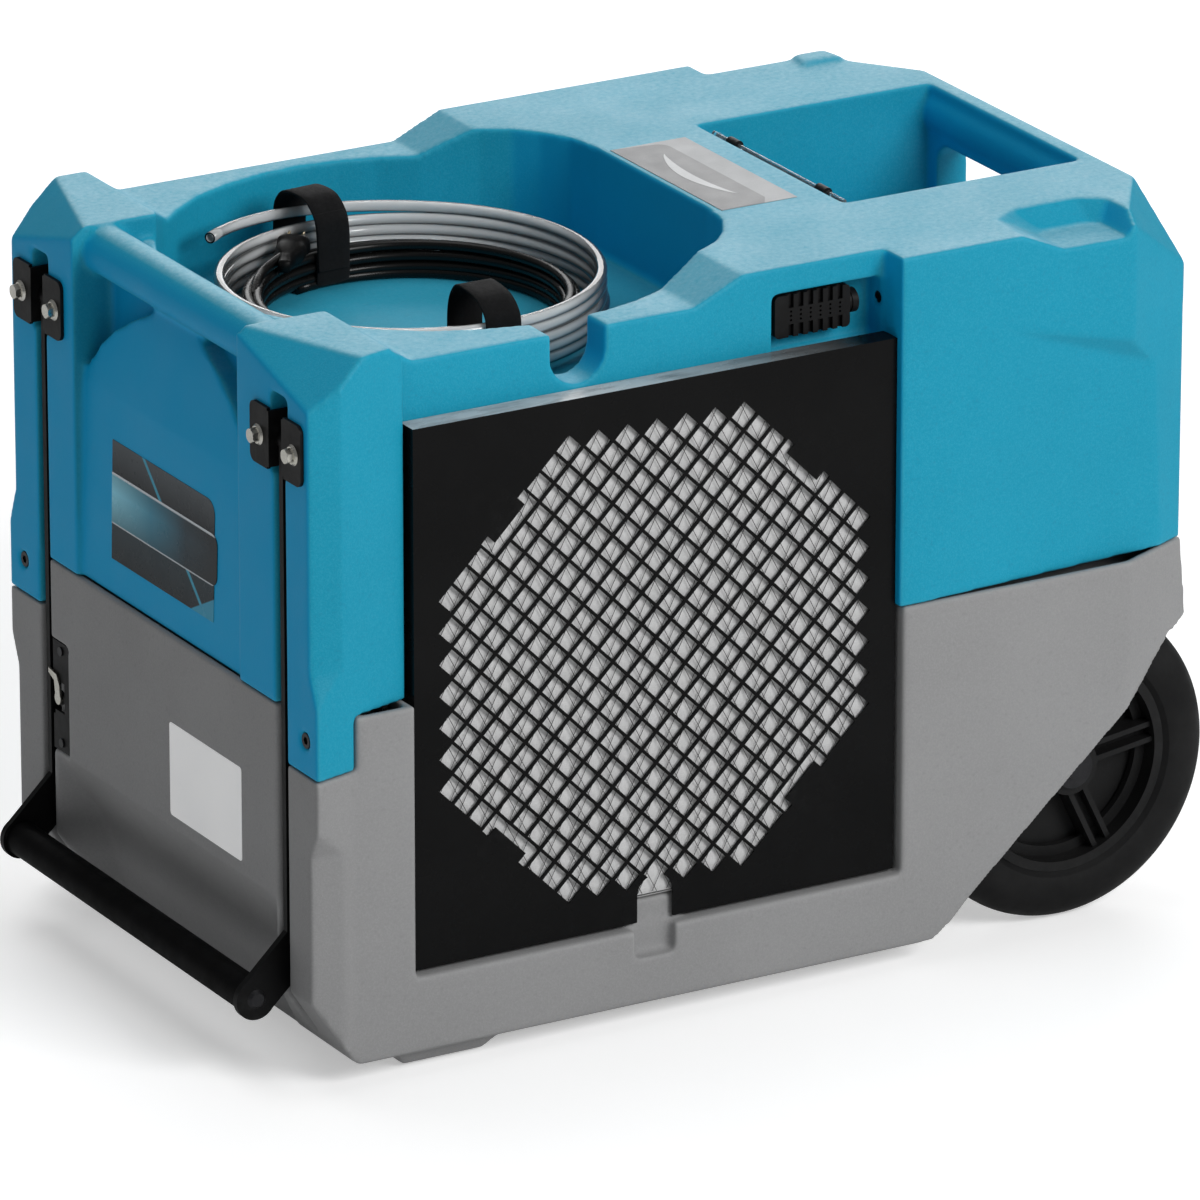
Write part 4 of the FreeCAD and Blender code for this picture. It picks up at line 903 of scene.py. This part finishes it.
def front_film_material():
    """Dark vertical gradient with a blue stripe and a blue low corner."""
    m = Material("front_film")
    position = m.split()
    v = m.along(position, "Z", 76, 176)
    u = m.along(position, "Y", 178, 350)
    colour = m.ramp(v, [(0.0, (0.008, 0.014, 0.018)), (0.28, (0.016, 0.034, 0.044)),
                        (0.72, (0.008, 0.012, 0.016)), (1.0, (0.075, 0.090, 0.100))])
    slant = m.calc("ADD", m.calc("MULTIPLY", u, 1.0), m.calc("MULTIPLY", v, -0.62))
    stripe = m.ramp(slant, [(0.0, 0.0), (0.055, 0.0), (0.062, 1.0), (0.085, 1.0), (0.092, 0.0)])
    colour = m.mix(stripe, colour, (0.05, 0.36, 0.52))
    slant = m.calc("ADD", u, m.calc("MULTIPLY", v, 1.15))
    wedge = m.ramp(slant, [(0.0, 1.0), (0.215, 1.0), (0.225, 0.0)])
    colour = m.mix(wedge, colour, (0.04, 0.33, 0.50))
    speckle = m.noise(scale=900, detail=2, rough=0.5)
    colour = m.tone(speckle, colour, (0.09, 0.10, 0.11), span=(0.45, 0.75), to=(0, 0.08))
    m.set("Base Color", colour)
    m.set("Specular IOR Level", 0.12)
    m.roughness(to=(0.20, 0.34), scale=40)
    m.set("Coat Weight", 0.0)
    m.bump(m.noise(scale=90, detail=2, rough=0.5), strength=0.08, distance=0.0006)


def front_band_material():
    """Band that runs from dark to light blue along y, with pale lines top and bottom."""
    m = Material("front_band")
    position = m.split()
    v = m.along(position, "Z", 104, 150)
    u = m.along(position, "Y", 172, 352)
    blue = m.ramp(u, [(0.0, (0.004, 0.007, 0.009)), (0.30, (0.010, 0.040, 0.060)),
                      (0.62, (0.040, 0.26, 0.38)), (1.0, (0.30, 0.75, 0.92))])
    shading = m.ramp(v, [(0.0, 0.35), (0.35, 0.75), (0.62, 1.0), (1.0, 0.55)])
    colour = m.mix(1.0, blue, shading, blend="MULTIPLY")
    lines = m.ramp(v, [(0.0, 1.0), (0.055, 1.0), (0.075, 0.0),
                       (0.925, 0.0), (0.945, 1.0), (1.0, 1.0)])
    colour = m.mix(lines, colour, (0.50, 0.54, 0.57))
    speckle = m.noise(scale=1100, detail=2, rough=0.5)
    colour = m.tone(speckle, colour, (0.2, 0.22, 0.24), span=(0.5, 0.75), to=(0, 0.06))
    m.set("Specular IOR Level", 0.15)
    m.set("Base Color", colour)
    m.roughness(to=(0.18, 0.30), scale=50)
    m.set("Metallic", m.calc("MULTIPLY", lines, 0.6))
    m.bump(m.noise(scale=100, detail=2, rough=0.5), strength=0.06, distance=0.0006)


def rating_film_material():
    m = Material("rating_film")
    fine = m.noise(scale=700, detail=3)
    colour = m.tone(m.noise(scale=25), (0.90, 0.90, 0.90), (0.84, 0.845, 0.85), span=(0.4, 0.7))
    colour = m.tone(fine, colour, (0.76, 0.765, 0.77), span=(0.5, 0.8), to=(0, 0.3))
    m.set("Base Color", colour)
    # a faint glow paints extra light onto the label, which sits on the shaded end face
    m.set("Emission Color", colour)
    m.set("Emission Strength", 0.16)
    m.set("Roughness", m.remap(fine, to=(0.38, 0.52)))
    m.bump(m.noise(scale=70, detail=3, rough=0.5), strength=0.10, distance=0.0007)


def silver_material(name, dark, light):
    m = Material(name)
    brushed = m.noise(scale=300, rough=0.7, stretch=(1, 14, 1))
    colour = m.tone(brushed, dark, light, span=(0.35, 0.7))
    colour = m.tone(m.noise(scale=14), colour, shade(dark, 0.85), span=(0.4, 0.75), to=(0, 0.4))
    m.set("Base Color", colour)
    m.set("Metallic", 0.05)
    m.set("Specular IOR Level", 0.2)
    m.roughness(to=(0.42, 0.56), scale=60)
    m.bump(brushed, strength=0.08, distance=0.0003)


front_film_material()
end_film("front_label_film", rounded(178, 350, 76, 176, radii=(0.6, 12, 0.6, 0.6)),
         sloping_face_x, 0.42, "front_film", "front_label")
front_band_material()
end_film("front_label_band", rounded(173, 350, 106, 149, radii=(0.6, 9, 9, 0.6)),
         sloping_face_x, 0.62, "front_band")
rating_film_material()
end_film("rating_label_film", rounded(126, 246, -107, -28, radii=(3, 3, 3, 3)),
         lambda z: 0.0, 0.42, "rating_film", "rating_label")

silver_material("film_light", dark=(0.40, 0.41, 0.42), light=(0.46, 0.47, 0.48))
top_film("top_label_film", [(470, 184), (540, 184), (540, 362), (470, 362)], 338.05, 338.42,
         "film_light", "top_label")
silver_material("film_dark", dark=(0.255, 0.257, 0.262), light=(0.295, 0.297, 0.303))
field = [(510, 184.3), (517, 196), *arc((506, 346), 11, 0),
         (474, 361.7), (470.3, 361.7), (470.3, 184.3)]
top_film("top_label_field", field, 338.40, 338.58, "film_dark")
silver_material("film_white", dark=(0.58, 0.59, 0.60), light=(0.66, 0.67, 0.68))
# plain leaf shape: a full bow out along y, a shallower one back
leaf = [(503 - bow * math.sin(math.pi * q / 24) ** 0.8, 214 + 118 * q / 24)
        for bow, stations in ((17.0, range(25)), (7.5, range(23, 0, -1))) for q in stations]
top_film("top_label_swash", leaf, 338.56, 338.70, "film_white")


# ---------------------------------------------------------------- floor
def floor(cells=8, cell=6, drop=0.0005):
    """Pale square floor that glows a little to the camera only."""
    bm = bmesh.new()
    start = -cells * cell / 2
    grid = [[bm.verts.new((start + cell * i, start + cell * j, 0.0)) for j in range(cells + 1)]
            for i in range(cells + 1)]
    for a, b in zip(grid, grid[1:]):
        for j in range(cells):
            bm.faces.new((a[j], b[j], b[j + 1], a[j + 1]))
    mesh = bpy.data.meshes.new("floor")
    bm.to_mesh(mesh)
    bm.free()
    ground = add_object("floor", mesh)
    m = Material("floor_pale")
    clouds = m.noise(scale=3, detail=3, rough=0.5)
    m.set("Base Color", m.tone(clouds, (0.86, 0.86, 0.86), (0.89, 0.89, 0.89)))
    m.set("Roughness", 0.85)
    m.set("Specular IOR Level", 0.1)
    to_camera = m.node("LightPath").outputs["Is Camera Ray"]
    m.set("Emission Color", (1.0, 1.0, 1.0))
    m.set("Emission Strength", m.calc("MULTIPLY", to_camera, 0.42))
    mesh.materials.append(MATERIALS["floor_pale"])
    ground.location.z = -drop


floor()

# ---------------------------------------------------------------- camera
lens = bpy.data.cameras.new("camera")
camera = add_object("camera", lens)
lens.lens = 353.19
lens.sensor_width = 36.0
lens.clip_start, lens.clip_end = 0.5, 200
forward = Vector((0.4680, 0.8132, -0.3458)).normalized()
right = Vector((0.8667, -0.4988, 0.0)).normalized()
turned = Matrix((right, right.cross(forward).normalized(), -forward)).transposed()
stand = Vector((-4.4555, -7.75297, 3.29055 + DATUM_OFFSET[2] / 1000.0))
camera.matrix_world = Matrix.Translation(stand) @ turned.to_4x4()
bpy.context.scene.camera = camera

# ---------------------------------------------------------------- light
world = bpy.data.worlds.new("studio")
bpy.context.scene.world = world
world.use_nodes = True
background = world.node_tree.nodes["Background"]
background.inputs["Color"].default_value = (0.97, 0.985, 1.0, 1.0)
background.inputs["Strength"].default_value = 0.19

LIGHT_TARGET = Vector((0, 0, 0.3))
# name, place, width, height, watts
for name, spot, width, height, watts in (
        ("key", (1.6, -5.0, 3.6), 3.0, 2.4, 240),
        ("top", (-0.3, 1.2, 5.0), 3.4, 3.4, 66),
        ("card", (3.0, 5.2, 2.5), 5.0, 3.0, 150)):
    light = bpy.data.lights.new(name, "AREA")
    light.shape = "RECTANGLE"
    light.size = width
    light.size_y = height
    light.energy = watts
    lamp = add_object(name, light)
    lamp.location = spot
    lamp.rotation_mode = "QUATERNION"
    lamp.rotation_quaternion = (LIGHT_TARGET - Vector(spot)).to_track_quat("-Z", "Y")
bpy.context.scene.view_settings.view_transform = "Standard"
bpy.context.scene.view_settings.look = "None"
